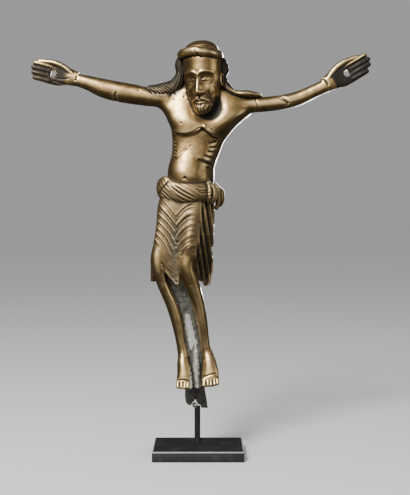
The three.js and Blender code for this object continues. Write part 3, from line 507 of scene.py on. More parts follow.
# Hair: two long locks from the temples to the shoulders, twisted like rope, and a rounded mass
# behind. Rows are x, y, z, half width across the lock and half thickness. The strands of the left
# lock fade from half way down it, and those of the right one don't.
hair = dict(
    strands=13, groove=0.06, fine=39, fineGroove=0.02, twist=2.2, leftFade=0.5, rightFade=2,
    left=[(-5.2, 1, 204, 2, 4.4), (-8, 1.4, 198, 2.9, 5), (-8.2, 1.6, 192.4, 2.5, 5),
          (-11.4, 1.2, 186.4, 3.9, 5), (-18, 0.6, 184.5, 3.7, 4.8), (-24.4, 0.4, 185.4, 1.7, 3.4)],
    right=[(9.2, 1, 203.4, 2.4, 4.6), (12.4, 1.2, 197.6, 2.8, 5), (13.2, 1.4, 194.2, 2.8, 5),
           (12.6, 1.4, 191, 2.3, 4.8), (14.8, 1, 186.4, 2.3, 4.8), (19.6, 0.2, 183.1, 1.6, 5),
           (26, -0.6, 182.6, 1.85, 4.4), (31.6, -0.8, 182, 0.9, 3)],
    back=dict(at=(3, 3.6, 193), wide=11.2, deep=6.6, half=14.6, strands=24, groove=0.035),
)


# Section of a lock: ridges that turn round it on the way down, with finer ones between. Past the
# share smoothFrom of its length they fade. The hand is 1 or -1 for the way they turn.
def lockForm(rows, hand, smoothFrom):
    def swell(t, angle):
        turned = angle + hand * t * hair["twist"]
        ridges = np.abs(np.cos(hair["strands"] * turned / 2 + 0.6)) ** 0.7
        combed = hair["groove"] * (2 * ridges - 1.3) + hair["fineGroove"] * np.cos(hair["fine"]
                                                                                   * turned)
        return 1 + combed * (1 - 0.8 * softStep(smoothFrom, smoothFrom + 0.15, t))

    return limb(rows, rings=220, sides=180, endRound=1, swell=swell)


# Egg behind the head with strands running down it
def backHairForm():
    back = hair["back"]
    level = np.cos(np.pi * np.linspace(0.05, 0.95, 160))[:, None]
    angle = angles(260)
    strands = np.abs(np.cos(back["strands"] / 2 * (angle + 0.12 * np.sin(3 * level))))
    girth = np.sqrt(1 - level**2) * (1 + back["groove"] * (2 * strands - 1))
    x, y, z = back["at"]
    return closedSkin(grid(x + np.cos(angle) * back["wide"] * girth,
                           y + np.sin(angle) * back["deep"] * girth, z + level * back["half"]))


# Rolled upper edge of the loincloth, wrung like a rope on the right hip and smoother on the left
waistRoll = dict(
    middle=(-5, 0.4), z=133.2, halfWide=12.9, halfDeep=8.2, tall=5.1, thick=2.6, rise=2.3,
    # the corner of cloth that stands up beside the belly
    cornerAngle=-2.5, cornerWidth=0.3, cornerRise=1.7,
    turns=-26, plies=13, groove=0.07, rings=520, sides=180,
)


# An oval ring whose section swells and shrinks with the plies that wind round it
def waistForm():
    angle = angles(waistRoll["rings"]).T
    across = angles(waistRoll["sides"])
    hip = np.maximum(0, -np.cos(angle)) ** 2
    wrung = 0.25 + 0.75 * softStep(0.5, -0.2, np.cos(angle))
    folds = (across * waistRoll["plies"] - angle * waistRoll["turns"]) / 2
    folds = np.abs(np.cos(folds)) ** 0.7
    wrung = wrung * softStep(0.92, 0.6, np.sin(across))
    plump = 1 + waistRoll["groove"] * (1.6 * folds - 1.2) * wrung
    thick = np.cos(across) * waistRoll["thick"] * plump
    middleX, middleY = waistRoll["middle"]
    x = middleX + np.cos(angle) * (waistRoll["halfWide"] + thick)
    y = middleY + np.sin(angle) * (waistRoll["halfDeep"] + thick)
    corner = bell(angle - 2 * np.pi, waistRoll["cornerAngle"], waistRoll["cornerWidth"])
    corner = waistRoll["cornerRise"] * corner
    tall = waistRoll["tall"] * plump + corner * np.maximum(0, np.sin(across))
    return ringSkin(grid(x, y, waistRoll["z"] + waistRoll["rise"] * hip + np.sin(across) * tall))


# Knot at the left hip: three flat loops one behind another, and a twisted end bound round the roll
knot = dict(
    # x, y, top, bottom, half width and half depth of each loop
    loops=[(8, -4.2, 137, 128.6, 1.9, 2), (10.5, 0, 137.4, 125.6, 1.15, 2.2),
           (12, 2.6, 135.4, 127.2, 1.5, 2.4)],
    groove=0.08, bulge=0.8,
    binding=[(5.4, -3.6, 139.4, 0.9, 0.9), (6.1, -7.6, 136.4, 0.95, 0.8),
             (6.3, -8.6, 133.4, 0.95, 0.8), (6.2, -7.8, 130.2, 0.9, 0.8),
             (5.8, -4.6, 127.8, 0.8, 0.9)],
    beads=9, beadGroove=0.16,
)


# Each loop is a limb that bulges outward on its way down, and the binding one with a beaded skin
def knotForms():
    swell = lambda t, angle: 1 + knot["groove"] * np.cos(5 * angle + 2 * t)
    forms = []
    for x, y, top, bottom, half, deep in knot["loops"]:
        middle = (top + bottom) / 2
        reach = top - middle
        rows = [(x - 1.4, y, top, half * 0.8, deep * 0.8),
                (x + knot["bulge"] * 0.4, y, middle + reach * 0.5, half, deep),
                (x + knot["bulge"] * 0.5, y, middle - reach * 0.4, half, deep),
                (x - 0.6, y, bottom, half * 0.85, deep * 0.8)]
        forms.append(limb(rows, rings=90, sides=60, startRound=1, endRound=1.3, swell=swell))
    beaded = lambda t, angle: (
        1 + knot["beadGroove"] * np.cos(2 * np.pi * knot["beads"] * t + angle))
    return forms + [limb(knot["binding"], rings=120, sides=40, swell=beaded)]


# Skirt of the loincloth. Its front ends on the right in a corner, past which the cloth falls back
# in hanging folds, and the hem has a point between the legs and clings to both knees.
skirt = dict(
    rings=340, sides=620, squareness=2.7, top=136,
    # height, left edge, right edge, front, back
    rows=[(136, -17.6, 8, -7.4, 8), (126, -19.6, 9, -8.8, 8.2), (115, -20.4, 9, -9.4, 8.4),
          (104, -22.2, 8.8, -9.8, 8.4), (96, -23, 8.4, -9.2, 8.6), (86, -23.2, 8, -8.2, 8.8)],
    # height and x of the corner on the right, the slope of the side behind it and how soft it is
    corner=[(136, 3), (126, 2.2), (112, 1.2), (102, -0.9), (95, -2.8), (86, -4)],
    sideSlope=1.75, cornerSoft=0.8, cornerGroove=0.6,
    # the side ends this far in front of the back, which is squared off to meet it between two
    # heights, so that the cloth keeps a thickness there
    sideThick=2.2, squareFrom=(122, 108),
    hemLevel=88.4, edgeFade=1.3,
    # x and height of the hem in front
    hem=[(-23.6, 90), (-22.8, 95.4), (-20.8, 96.6), (-18.4, 95.8), (-15, 91.6), (-12, 88.4),
         (-10.2, 86.9), (-9.2, 87.6), (-8.7, 93), (-7.8, 96), (-5.6, 96.8), (-3, 95.6),
         (-0.6, 92.4), (2, 88.8), (4, 86.6), (5.7, 85.4), (7, 86.6), (8.2, 89.8)],
    # where each thigh swells the cloth: at the top and at the hem
    thighs=[((-17.4, 127), (-21.2, 98)), ((-1.2, 127), (-5.9, 97))], thighWidth=3, thighBulge=1.5,
    cling=0.3,
    # line that the V folds meet on, their pitch and slope on both sides of it, and where they start
    foldX=-10.6, foldDepth=0.5, leftPitch=4.9, leftSlope=1.15, leftSteeper=0.75,
    steepest=(108, 11), rightPitch=5.4, rightRise=6.4, rightReach=8.6, rightEnd=(11.5, 6.5),
    firstFold=2.9,
    # valley along that line, with small lumps in it
    valley=1.2, valleyWidth=3, valleyTop=(124, 108), nubPitch=3, nub=0.2, nubTop=(118, 112),
    # hanging folds on the right side and pleats round the back
    sidePitch=2.5, sideLean=0.13, sideDepth=0.75, backPleats=21, backDepth=0.4,
    # how far in and how far up the inner side goes from the hem, towards its middle
    inner=[(0.88, 0.1), (0.84, 1.8), (0.78, 5), (0.6, 7.5)], innerRight=3.5, innerMiddle=-7.4,
)


# Height of the hem: level at the back and sides, and as drawn out in front
def hemHeight(x, facing):
    drawn = np.interp(x, *zip(*skirt["hem"]))
    return skirt["hemLevel"] + (drawn - skirt["hemLevel"]) * facing


# Lapped folds, one for each whole step of the phase: an even rise and a sharp drop
def lapped(phase):
    part = phase - np.floor(phase)
    return 1.1 * part * softStep(1, 0.84, part) - 0.45


# V folds: the phase of a place is its fall below the top, plus the rise of a fold on its way out
# from the middle, over their pitch. Between the main folds lie finer ones.
def foldHeight(x, z):
    off = x - skirt["foldX"]
    steep = skirt["leftSlope"] + skirt["leftSteeper"] * bell(z, *skirt["steepest"])
    leftPhase = (skirt["top"] - z - off * steep) / skirt["leftPitch"]
    spread = np.clip(off / skirt["rightReach"], -0.2, 1)
    rise = skirt["rightRise"] * np.sin(np.pi / 2 * spread)
    rightPhase = (skirt["top"] + 1 - z + rise) / skirt["rightPitch"]
    left = 1.15 * lapped(leftPhase) + 0.7 * lapped(2 * leftPhase + 0.4)
    left = left + 0.3 * lapped(4 * leftPhase)
    right = 1.15 * lapped(rightPhase) + 0.7 * lapped(2 * rightPhase + 0.4)
    right = right * softStep(*skirt["rightEnd"], off)
    begin = skirt["firstFold"] - 0.25, skirt["firstFold"]
    left = left * softStep(*begin, leftPhase)
    right = right * softStep(*begin, rightPhase)
    side = softStep(-0.4, 0.4, off)
    nubs = np.cos(2 * np.pi * z / skirt["nubPitch"] + 1.6 * np.sin(0.7 * z))
    nubs = skirt["nub"] * nubs * bell(off, 0, 0.9) * softStep(*skirt["nubTop"], z)
    return skirt["foldDepth"] * (left * (1 - side) + right * side) + nubs


# The outside follows the oval sections, falls back behind the corner and carries folds, thighs and
# pleats; the inside starts at the hem and goes up and in
def skirtForm():
    angle = angles(skirt["sides"])
    rightward, rearward = np.cos(angle), np.sin(angle)
    facing = softStep(0.15, 0.55, -rearward)
    drawn = softStep(0.7, 0.45, rearward) * softStep(-0.1, 0.2, rightward)
    drawn = np.maximum(facing, drawn)
    along = np.linspace(0, 1, skirt["rings"])[:, None]
    top, lowest = skirt["top"], skirt["rows"][-1][0]
    heights, order = [row[0] for row in skirt["rows"][::-1]], np.arange(len(skirt["rows"]))[::-1]
    place = lambda z: np.interp(z, heights, order)
    section = rowsAt(skirt["rows"], place(top + (lowest - top) * along[:, 0]))
    guideX, _ = oval(*(section[:, [k]] for k in (1, 2, 3, 4)), angle, skirt["squareness"])
    z = top - (top - hemHeight(guideX, drawn)) * along
    section = rowsAt(skirt["rows"], place(z))
    left, right, front, back = (section[..., k] for k in (1, 2, 3, 4))
    x, y = oval(left, right, front, back, angle, skirt["squareness"])
    cornerX = np.interp(z, *zip(*skirt["corner"][::-1]))
    behind = front + skirt["sideSlope"] * (x - cornerX)
    side = np.minimum(softMax(behind, y, skirt["cornerSoft"]), back - skirt["sideThick"])
    squared = y + (back - y) * softStep(*skirt["squareFrom"], z) * (rightward > 0)
    y = np.where(rearward < 0.35, side, squared)
    zone = facing * softStep(cornerX + 1.4, cornerX - 0.4, x)
    onSide = (1 - zone) * softStep(0.75, 0.5, rearward) * softStep(-0.2, 0.1, rightward)
    swell = 0
    for (topX, topZ), (footX, footZ) in skirt["thighs"]:
        t = (topZ - z) / (topZ - footZ)
        thigh = bell(x, topX + (footX - topX) * t, skirt["thighWidth"])
        swell = swell + thigh * softStep(-0.1, 0.5, t)
    smoothed = 1 - np.clip(swell, 0, 1) * (0.35 + 0.65 * softStep(104, 99, z))
    hanging = np.pi * (x - skirt["sideLean"] * (top - z)) / skirt["sidePitch"]
    hanging = np.abs(np.cos(hanging)) ** 3
    pleat = np.abs(np.cos((angle * skirt["backPleats"] + 0.05 * (top - z)) / 2)) ** 1.5
    below = softStep(0, 0.2, along)
    move = foldHeight(x, z) * zone * softStep(0, 0.08, along) * smoothed
    fade = softStep(0, skirt["edgeFade"], right - x)
    move = move + skirt["sideDepth"] * (2 * hanging - 0.8) * onSide * fade * below
    move = move - skirt["cornerGroove"] * bell(x, cornerX + 1.5, 0.7) * onSide * below
    pleats = skirt["backDepth"] * (2 * pleat - 1) * (1 - zone) * (1 - onSide)
    move = move + pleats * softStep(0, 0.3, along)
    nearHem = softStep(11, 1, z - hemHeight(x, facing))
    bulge = skirt["thighBulge"] - (skirt["thighBulge"] + skirt["cling"]) * nearHem
    move = move + bulge * swell * facing
    valley = skirt["valley"] * bell(x, skirt["foldX"], skirt["valleyWidth"]) * facing
    move = move - valley * softStep(*skirt["valleyTop"], z)
    outer = grid(x + rightward * move, y + rearward * move, z)
    middle = grid(skirt["innerMiddle"], 0, outer[-1, :, 2])
    steps = np.linspace(0.2, len(skirt["inner"]), 30)
    keep, up = rowsAt([(1, 0)] + skirt["inner"], steps).T[..., None, None]
    inner = middle + (outer[-1] - middle) * keep + up * np.array([0, 0, 1])
    inner[..., 0] = np.minimum(inner[..., 0], skirt["innerRight"])
    return closedSkin(np.concatenate([outer, inner]))


# Legs and feet: middle of each section, half width and half depth
legs = dict(
    left=[(-17.4, -3.2, 108, 4, 4.8), (-19.7, -5.7, 98.5, 3.8, 4.6), (-17.4, -3.6, 88, 2.95, 4),
          (-13.2, -0.8, 78, 3.1, 4.3), (-10.7, 0.4, 70, 3, 4), (-8.7, 1.4, 60, 2.6, 3.2),
          (-7.2, 2, 50.4, 2.5, 3.1)],
    right=[(-4.8, -3.4, 108, 4.6, 5), (-5.6, -6, 97.5, 4.1, 4.7), (-2.7, -3.4, 88, 3.7, 4.4),
           (0.2, -0.8, 78.6, 3.4, 4.6), (2, 0.4, 69, 3.2, 4.2), (3.5, 1.4, 59, 2.7, 3.3),
           (4.6, 2, 50.4, 2.7, 3.1)],
)
feet = dict(
    left=[(-7.2, 2, 53, 2.5, 3), (-7, 0, 47, 3.1, 3.4), (-6.4, -2.6, 41.6, 3.7, 2.8),
          (-6.3, -4.4, 38, 4.2, 1.9)],
    right=[(4.7, 2, 53.6, 2.7, 3), (6, 0, 48.2, 3.5, 3.4), (6.8, -2.6, 43, 4.1, 2.8),
           (6.8, -4.4, 39.2, 4.4, 1.9)],
    toes=5, toeRadius=0.8, bigToe=1.15, toeForward=2.2, toeDrop=3, toeLower=0.14, rightSlope=0.15,
)


# A foot seen from above its instep, with five short toes in a row, of which one is the great toe
def footForms(rows, great, slope):
    forms = [limb(rows, rings=60, sides=72, endRound=0.8)]
    x, y, z, wide, _ = rows[-1]
    number = np.arange(feet["toes"])
    radii = np.where(number == great, feet["bigToe"], feet["toeRadius"])
    radii = radii * wide / radii.sum()
    middles = x - wide + np.cumsum(2 * radii) - radii
    for n, toeX, radius in zip(number, middles, radii * 0.97):
        low = z - feet["toeDrop"] + feet["toeLower"] * abs(n - 2) + slope * (toeX - x)
        deep = feet["toeRadius"] * 1.4
        toeRows = [(toeX, y - 0.5, z + 0.6, radius, deep),
                   (toeX, y - feet["toeForward"], low, radius, deep)]
        forms.append(limb(toeRows, rings=24, sides=32, endRound=0.7))
    return forms


# Thin web left between the legs, the block between the feet and the notched tang below them
web = dict(
    y=1.6, thick=2.4,
    outline=[(-18, 94), (-3, 92), (2.6, 66), (3.6, 50), (3, 38), (-3.4, 38), (-6.6, 50), (-9, 66),
             (-14.2, 83.4), (-16.4, 88)],
    slit=[(-5.3, 72.4), (-4.2, 70), (-3.1, 65.8), (-2, 61.2), (-0.8, 57.4), (-0.5, 54.9),
          (-1.7, 53), (-3.1, 54.4), (-4.1, 59), (-5.1, 65.8), (-5.6, 70.4)],
)
footBlock = dict(
    # height, middle, half width, front
    rows=[(56, -0.7, 1, 0.4), (52, -0.6, 2.2, -1), (46, -0.5, 2.7, -2.2), (40, -0.1, 2.2, -2.9),
          (34.4, 0.25, 1.7, -3.2)], back=8,
)
tang = dict(
    y=7.6, thick=2.4,
    outline=[(-6.1, 46), (3.6, 46), (3.8, 33), (4.7, 28), (5.5, 22.4), (1.95, 22.5), (1.95, 23.7),
             (0.6, 24.3), (0.1, 25), (-0.5, 25.8), (-0.9, 29.2), (-1.4, 26), (-2.2, 25.5),
             (-2.8, 24.7), (-3, 23.9), (-3.9, 23.8), (-5.3, 24.6), (-6, 26), (-6.3, 28.9)],
)


# Half-round ridge whose section is an oval from its front back to the tang
def footBlockForm():
    z, middle, half, front = outlineRows(footBlock["rows"], 60)
    angle = angles(80)
    deep = (footBlock["back"] - front) / 2
    return closedSkin(grid(middle + np.cos(angle) * half, front + deep * (1 + np.sin(angle)), z))


# Torso, arms, legs and feet flow into one another, so they are skinned and smoothed before the
# rest is laid over them. Each place to smooth is a middle, a radius and a strength.
flesh = dict(
    voxel=0.36, passes=70, even=0.06,
    places=[((-18, 0, 178), 9, 1), ((22, 0, 175.5), 9, 1), ((-7.2, 0, 50.5), 4.5, 1),
            ((4.8, 0, 51), 4.5, 1), ((-61.4, -0.6, 190.2), 2.6, 0.5),
            ((65.2, -0.6, 187.4), 2.6, 0.5)],
)


# Mean of each vertex's neighbours, column by column
def neighbourMean(values, edges, counts):
    total = np.zeros_like(values)
    for a, b in (edges.T, edges.T[::-1]):
        for k in range(values.shape[1]):
            total[:, k] += np.bincount(a, weights=values[b, k], minlength=len(values))
    return total / counts


# A mesh's points, edges and the number of neighbours of each point
def meshNet(piece):
    points = readRows(piece.data.vertices, "co", 3).astype(float)
    edges = readRows(piece.data.edges, "vertices", 2, np.int32)
    return points, edges, np.bincount(edges.ravel(), minlength=len(points))[:, None]


# Mesh drawn towards the mean of its neighbours, step by step, in places given by a middle, a radius
# and a strength. Even is how far all the rest moves at each step.
def relaxed(piece, places, passes, even=0.0):
    points, edges, counts = meshNet(piece)
    weight = np.full((len(points), 1), even)
    for middle, radius, strength in places:
        near = strength * bell(np.linalg.norm(points - middle, axis=1), 0, radius * 0.6)
        weight[:, 0] = np.maximum(weight[:, 0], near)
    for step in range(passes):
        points += weight * (neighbourMean(points, edges, counts) - points)
    movePoints(piece, points)
    return points, edges, counts


def fleshForm():
    limbs = [limb(arms[side], rings=160) for side in ("left", "right")]
    limbs += [limb(legs[side], rings=150) for side in ("left", "right")]
    limbs += footForms(feet["left"], feet["toes"] - 1, 0)
    limbs += footForms(feet["right"], 0, feet["rightSlope"])
    body = makePiece("flesh", *joined([torsoForm()] + limbs))
    shaped(body, "REMESH", mode="VOXEL", voxel_size=flesh["voxel"], adaptivity=0)
    relaxed(body, flesh["places"], flesh["passes"], flesh["even"])
    shaped(body, "TRIANGULATE")
    form = meshForm(body)
    bpy.data.objects.remove(body)
    return form


figureForms = [
    fleshForm(), *handForms(hands["left"]), *handForms(hands["right"]),
    skullForm(), headbandForm(), earForm(-1), earForm(1),
    lockForm(hair["left"], -1, hair["leftFade"]), lockForm(hair["right"], 1, hair["rightFade"]),
    backHairForm(), waistForm(), *knotForms(), skirtForm(),
    slab([web["outline"], web["slit"]], web["y"], web["thick"]), footBlockForm(),
    slab([tang["outline"]], tang["y"], tang["thick"]),
]
print("figure forms made")

# One skin over all the forms, as they were cast
casting = dict(voxel=0.27, triangles=192000)
figure = makePiece("corpus_figure", *joined(figureForms))
shaped(figure, "REMESH", mode="VOXEL", voxel_size=casting["voxel"], adaptivity=0)
print("figure skinned:", len(figure.data.vertices), "vertices")

# The knees flow into the cloth over them: each place to smooth is a middle, a radius and a strength
knees = dict(passes=140, places=[((-19.4, -8, 99), 7.5, 1), ((-5.6, -9, 97), 8, 1)])

# Cut and raised lines, as paths of x and z seen from the front. A depth below 0 raises a line.
# reach is how far round the side a line goes: the greatest y of a normal that it still marks.
# Each kind has a width, a depth, that reach and its paths.
carving = dict(
    breasts=(0.36, 0.42, 0.2, [
        [(-12.1, 163.7), (-10.4, 162.7), (-7.9, 162.1), (-4.9, 162.2), (-1.9, 163.2), (0.6, 164.8),
         (2.1, 165.7)],
        [(2.6, 164.5), (4.5, 163.2), (7, 161.3), (9, 160.4), (11, 160)]]),
    ribArch=(0.9, 0.26, 0, [[(-4.4, 154.9), (-6.9, 153.4), (-9.9, 151.4), (-13.1, 149.6)]]),
    leftRibs=(0.34, 0.3, 0.3, [
        [(-13.4, 160.4 - fall), (-12, 159.7 - fall), (-10.4 + shift, 159 - fall)]
        for fall, shift in zip(1.75 * np.arange(6), (0, 0.5) * 3)]),
    rightRibs=(0.34, 0.4, 0.6, [
        [(5.5, 157.7), (7.5, 158.2), (10, 158.7)], [(6, 155.7), (8, 156), (10.5, 156.2)],
        [(5, 154), (7.5, 153.5), (10, 153.5)], [(3, 152), (5.5, 151.2), (9, 150.2)],
        [(5, 146), (7, 145.2)]]),
    lastRib=(0.6, 0.75, 0.5, [[(0, 149.7), (2.5, 149.3), (5, 148.3), (8, 147.2)]]),
    elbows=(0.36, 0.5, 0.3, [
        [(-40.1, 183.8), (-40.9, 182.3), (-41.1, 180.8), (-40.4, 179.1), (-39.6, 178.3)],
        [(40, 181.7), (42, 180.3), (44, 178.8), (45, 177.6), (44.7, 176.4)],
        [(41, 182.1), (42.9, 180.7), (45.2, 178.6), (45.7, 177.4)]]),
    wrists=(0.4, 0.4, 0.5, [
        [(-60.4, 191.9), (-60.2, 190.9), (-60.5, 189.9), (-61.1, 188.9)],
        [(63, 190.4), (64, 189.4), (65, 188.1), (65.5, 186.4)]]),
    armSeam=(0.26, 0.2, 0.2, [[(28.7, 181.1), (29.7, 178.8), (30.2, 175.9), (29.5, 173.6)]]),
    clothEdge=(0.4, 0.5, 0.3, [
        [(-14.1, 139.4), (-15.3, 137.7), (-17.1, 135.9), (-18.6, 133.9), (-19.2, 132.5)]]),
    wrung=(0.3, 0.3, 0.3, [
        [(-14.3, 136.9), (-11.8, 135.2), (-9.3, 133.4), (-6.4, 131.7), (-3.4, 130.2), (0.1, 129)],
        [(-16, 135.4), (-13.8, 133.7), (-11.3, 131.7), (-8.3, 130), (-5.4, 129)],
        [(-17.2, 133.9), (-15.3, 132.4), (-13.3, 130.7), (-10.8, 129.2)],
        [(-12.3, 137.4), (-9.3, 135.7), (-6.4, 133.7), (-3.4, 132.2), (0.6, 130.2)],
        [(-18, 132.9), (-16.7, 131.5), (-14.8, 130)],
        [(-0.4, 135.2), (1.6, 134.3), (3.5, 134), (5.5, 134.2)],
        [(0.6, 133.9), (3.1, 133), (5.5, 133)], [(1.1, 136.4), (2.6, 136), (3.5, 136)],
        [(4, 137.4), (5.5, 135.7)]]),
    palmLines=(0.3, 0.3, -0.1, [
        [(-64.8, 187.6), (-68.6, 188), (-72, 189.4)],
        [(-63.6, 190.4), (-67.2, 190), (-70, 190.6)]]),
    toeLines=(0.3, 0.35, 0, [
        [(-10.3, 38.6), (-8.5, 39.1), (-5.5, 39.1), (-3, 38.4)],
        [(1.5, 40.1), (4, 40.9), (7.1, 41.9), (10.1, 42.6)]]),
    shoulderHair=(0.34, 0.34, 0.45, [
        [(x, 187), (x + 2, 185.6), (x + 4.2, 183.9), (x + 6.2, 182.2)]
        for x in np.arange(-28, -16, 1.9)]),
    toeGaps=(0.3, 0.3, -0.2, [
        *([(x, 35), (x + 0.1, 38.4)] for x in (-8.6, -6.9, -5.3, -3.7)),
        *([(x, z + 0.15 * (x - 6)) for z in (34.6, 39)] for x in (4.5, 6.2, 7.8, 9.5))]),
    tangNotch=(0.6, 0.5, 0, [[(-0.9, 31.4), (-0.85, 30), (-0.8, 28.6), (-0.7, 26.6)]]),
    bandSeam=(0.34, 0.4, 0.1, [
        [(-1.8, 202.7), (-0.6, 201), (1.1, 199.7), (3.1, 198.9)], [(-1.3, 202.7), (-0.4, 203.2)]]),
    kneeFolds=(0.34, 0.3, 0.1, [
        [(-18.3, 98.7), (-16.4, 96.7), (-14.4, 94.7), (-11.9, 92.4)],
        [(-17.8, 96.9), (-15.9, 94.9), (-13.4, 92.4), (-11.4, 90.2)],
        [(-4.9, 105.1), (-6.9, 103.4), (-8.4, 101.7)],
        [(-3.4, 107.1), (-5.9, 105.4), (-8.4, 103.2)]]),
)

# Small round pits left by the casting, the points of the breasts, and a knob between them that is
# raised by its depth below 0: x, z, radius and depth
pits = [(3.8, 165.9, 0.8, -0.4), (-7.9, 167.8, 0.4, 0.4), (7.5, 164.5, 0.4, 0.4),
        (8.5, 163.7, 0.35, 0.35), (-5.9, 140.4, 0.7, 0.6), (-7.1, 140, 0.3, 0.3),
        (-4.9, 139.6, 0.3, 0.3), (-3.1, 156.4, 0.35, 0.25), (-4.4, 157.7, 0.3, 0.2),
        (-11.7, 179.8, 0.35, 0.3), (-6.5, 181, 0.35, 0.3), (-4.5, 179.5, 0.3, 0.3),
        (-5.6, 49.9, 0.35, 0.4), (-8.6, 49.9, 0.35, 0.4), (-8.1, 83.6, 0.35, 0.3),
        (-10.6, 80.6, 0.35, 0.3), (-14.6, 77.6, 0.35, 0.3), (7.6, 51.7, 0.35, 0.35),
        (-3.5, 87.2, 0.4, 0.35), (-1.6, 199.6, 0.35, 0.3), (27.5, 181.6, 0.35, 0.35),
        (-29, 184.4, 0.35, 0.3), (-0.6, 202.2, 0.4, 0.35), (2.3, 200.6, 0.35, 0.3)]


# Distance of each point from a smooth path, and how far along the path its nearest place is
def pathDistance(points, path):
    smooth = rowsAt(path, np.linspace(0, len(path) - 1, 8 * len(path)))
    start, way = smooth[:-1], np.diff(smooth, axis=0)
    t = np.einsum("ijk,jk->ij", points[:, None] - start, way) / np.einsum("jk,jk->j", way, way)
    t = np.clip(t, 0, 1)
    away = np.linalg.norm(points[:, None] - start - t[..., None] * way, axis=2)
    nearest = away.argmin(axis=1)
    rows = np.arange(len(points))
    return away[rows, nearest], (nearest + t[rows, nearest]) / len(way)


# How deep the carved lines and pits cut at each vertex: the depth times a bell of the distance,
# eased off at both ends of a line
def carvedDepth(points, normals):
    flat = points[:, [0, 2]]
    depth = np.zeros(len(points))
    for width, cut, reach, paths in carving.values():
        for path in paths:
            margin = 4 * width
            low, high = np.min(path, axis=0) - margin, np.max(path, axis=0) + margin
            near = ((flat > low) & (flat < high)).all(axis=1) & (normals[:, 1] < reach)
            near = np.flatnonzero(near)
            away, along = pathDistance(flat[near], path)
            ends = softStep(-0.02, 0.16, along) * softStep(1.02, 0.84, along)
            depth[near] += cut * bell(away, 0, width) * ends
    for x, z, radius, deep in pits:
        away = np.hypot(flat[:, 0] - x, flat[:, 1] - z)
        depth += deep * bell(away, 0, radius) * (normals[:, 1] < -0.2)
    return depth


points, edges, counts = relaxed(figure, **knees)
figure.data.update()
normals = readRows(figure.data.vertex_normals, "vector", 3).astype(float)
points -= normals * carvedDepth(points, normals)[:, None]
print("lines and pits carved")

# Where each kind of surface lies, in millimetres. A pair is the place at which a mask begins and
# the one at which it is full, and facing is the same for the y of a normal.
zones = dict(
    hand=dict(x=60, facing=-0.35),
    palm=dict(along=(1.5, 5), tips=(27, 23), upper=(3.8, 2), lower=(-7, -5.6), facing=(-0.3, -0.7)),
    # the corroded web: its middle line leans, and above a height it widens
    web=dict(x=-4.4, leanFrom=78, lean=0.12, half=3.4, widerFrom=70, wider=0.3, side=(1.3, -0.3),
             top=(90, 84), foot=(34, 36), back=(-4.4, -1.6), step=3.6, stepAt=(58, 50),
             crustFrom=50),
    block=dict(x=-0.6, side=(3.6, 2.6), top=(57, 53), foot=(33.6, 34.6),
               scoured=(2.6, 1), scouredFrom=(58, 50)),
    valley=dict(x=-11.2, width=2.4, strength=0.55, top=(124, 110), foot=(84, 88),
                facing=(-0.2, -0.5)),
    tang=dict(top=(35.5, 34), front=(5, 6)),
    # hair: the crown over the headband, the locks in half widths and the heights of painted shade on
    # their upper part, the beard, darkened as painted shade under the bowed head, and the back hair
    crown=dict(at=(0, 0, 19.0), radius=(9.5, 7.5), level=(203.5, 204.5), slope=0.15, strength=0.45),
    locks=dict(side=(1.2, 1), front=(-6, -4.6), sooty=(182, 187), soot=0.5),
    beard=dict(at=(0, -5, -13.5), radius=(8.5, 6.5), front=(-8, -9), strength=0.75),
    backHair=dict(side=(1.2, 0.95), front=(2.5, 4), strength=0.8),
    # painted shadow of the head on the throat: its middle, half width and height, soft edge, and the
    # depths it spans
    throat=dict(middle=(6.8, 175.6), wide=6, tall=6.6, edge=(1.3, 0.7), under=(-9, -7.6),
                back=(2, 0)),
    knee=dict(side=(4.2, 2.4), top=(106, 101), front=(-2, -4)),
    cloth=dict(foot=(84, 87), top=(140, 137.5), slope=0.12, x=-5),
)
x, y, z = points.T
faceY = normals[:, 1]


# How far within a zone: the product of soft steps, each between the zone's pair of that name
def inside(zone, share=1.0, **places):
    for name, place in places.items():
        share = share * softStep(*zone[name], place)
    return share


# Palms: the hollow and the ridge round the nail hole, and the inner side of the hand darkened by dirt
# and by painted shade, deeper on the right palm that faces away from the light
palmDirtAndShade = np.zeros(len(points))
palm, dish, rim = zones["palm"], hands["dish"], hands["rim"]
for key in ("left", "right"):
    hand = hands[key]
    away = np.stack([hand["side"] * (x - hand["at"][0]), z - hand["at"][2]], axis=1) / hand["grow"]
    tilt = math.radians(hand["tilt"])
    along = away[:, 0] * math.cos(tilt) + away[:, 1] * math.sin(tilt)
    up = away[:, 1] * math.cos(tilt) - away[:, 0] * math.sin(tilt)
    inHand = hand["side"] * x > zones["hand"]["x"]
    hollow = bell(ovalDistance(along, up, dish["middle"], dish["wide"], dish["tall"]), 0, 1)
    ridge = bell(ovalDistance(along, up, hands["nail"], 1, 1), rim["radius"], rim["width"])
    inFront = inHand & (faceY < zones["hand"]["facing"])
    y += inFront * (dish["deep"] * hollow - rim["height"] * ridge)
    inner = inside(palm, along=along, tips=along, upper=up, lower=up, facing=faceY)
    palmDirtAndShade = np.maximum(palmDirtAndShade, inHand * inner * hands["dirtAndShade"][key])

# Crust: the web, the block between the feet and a streak down the skirt's valley. Then the tang.
zone = zones["web"]
off = np.abs(x - zone["x"] - (zone["leanFrom"] - z) * zone["lean"]) - zone["half"]
off = off - zone["wider"] * np.maximum(z - zone["widerFrom"], 0)
depth = y + inside(zone, zone["step"], stepAt=z)
inWeb = inside(zone, side=off, top=z, foot=z, back=depth) * (z > zone["crustFrom"])
zone = zones["block"]
fromMiddle = np.abs(x - zone["x"])
inBlock = inside(zone, side=fromMiddle, top=z, foot=z)
scoured = inside(zone, inBlock, scouredFrom=z, scoured=fromMiddle)
zone = zones["valley"]
inValley = zone["strength"] * bell(x, zone["x"], zone["width"])
inValley = inside(zone, inValley, top=z, foot=z, facing=faceY)
corroded = np.clip(np.maximum.reduce([inWeb, inBlock, inValley]), 0, 1)
inTang = inside(zones["tang"], top=z, front=y)
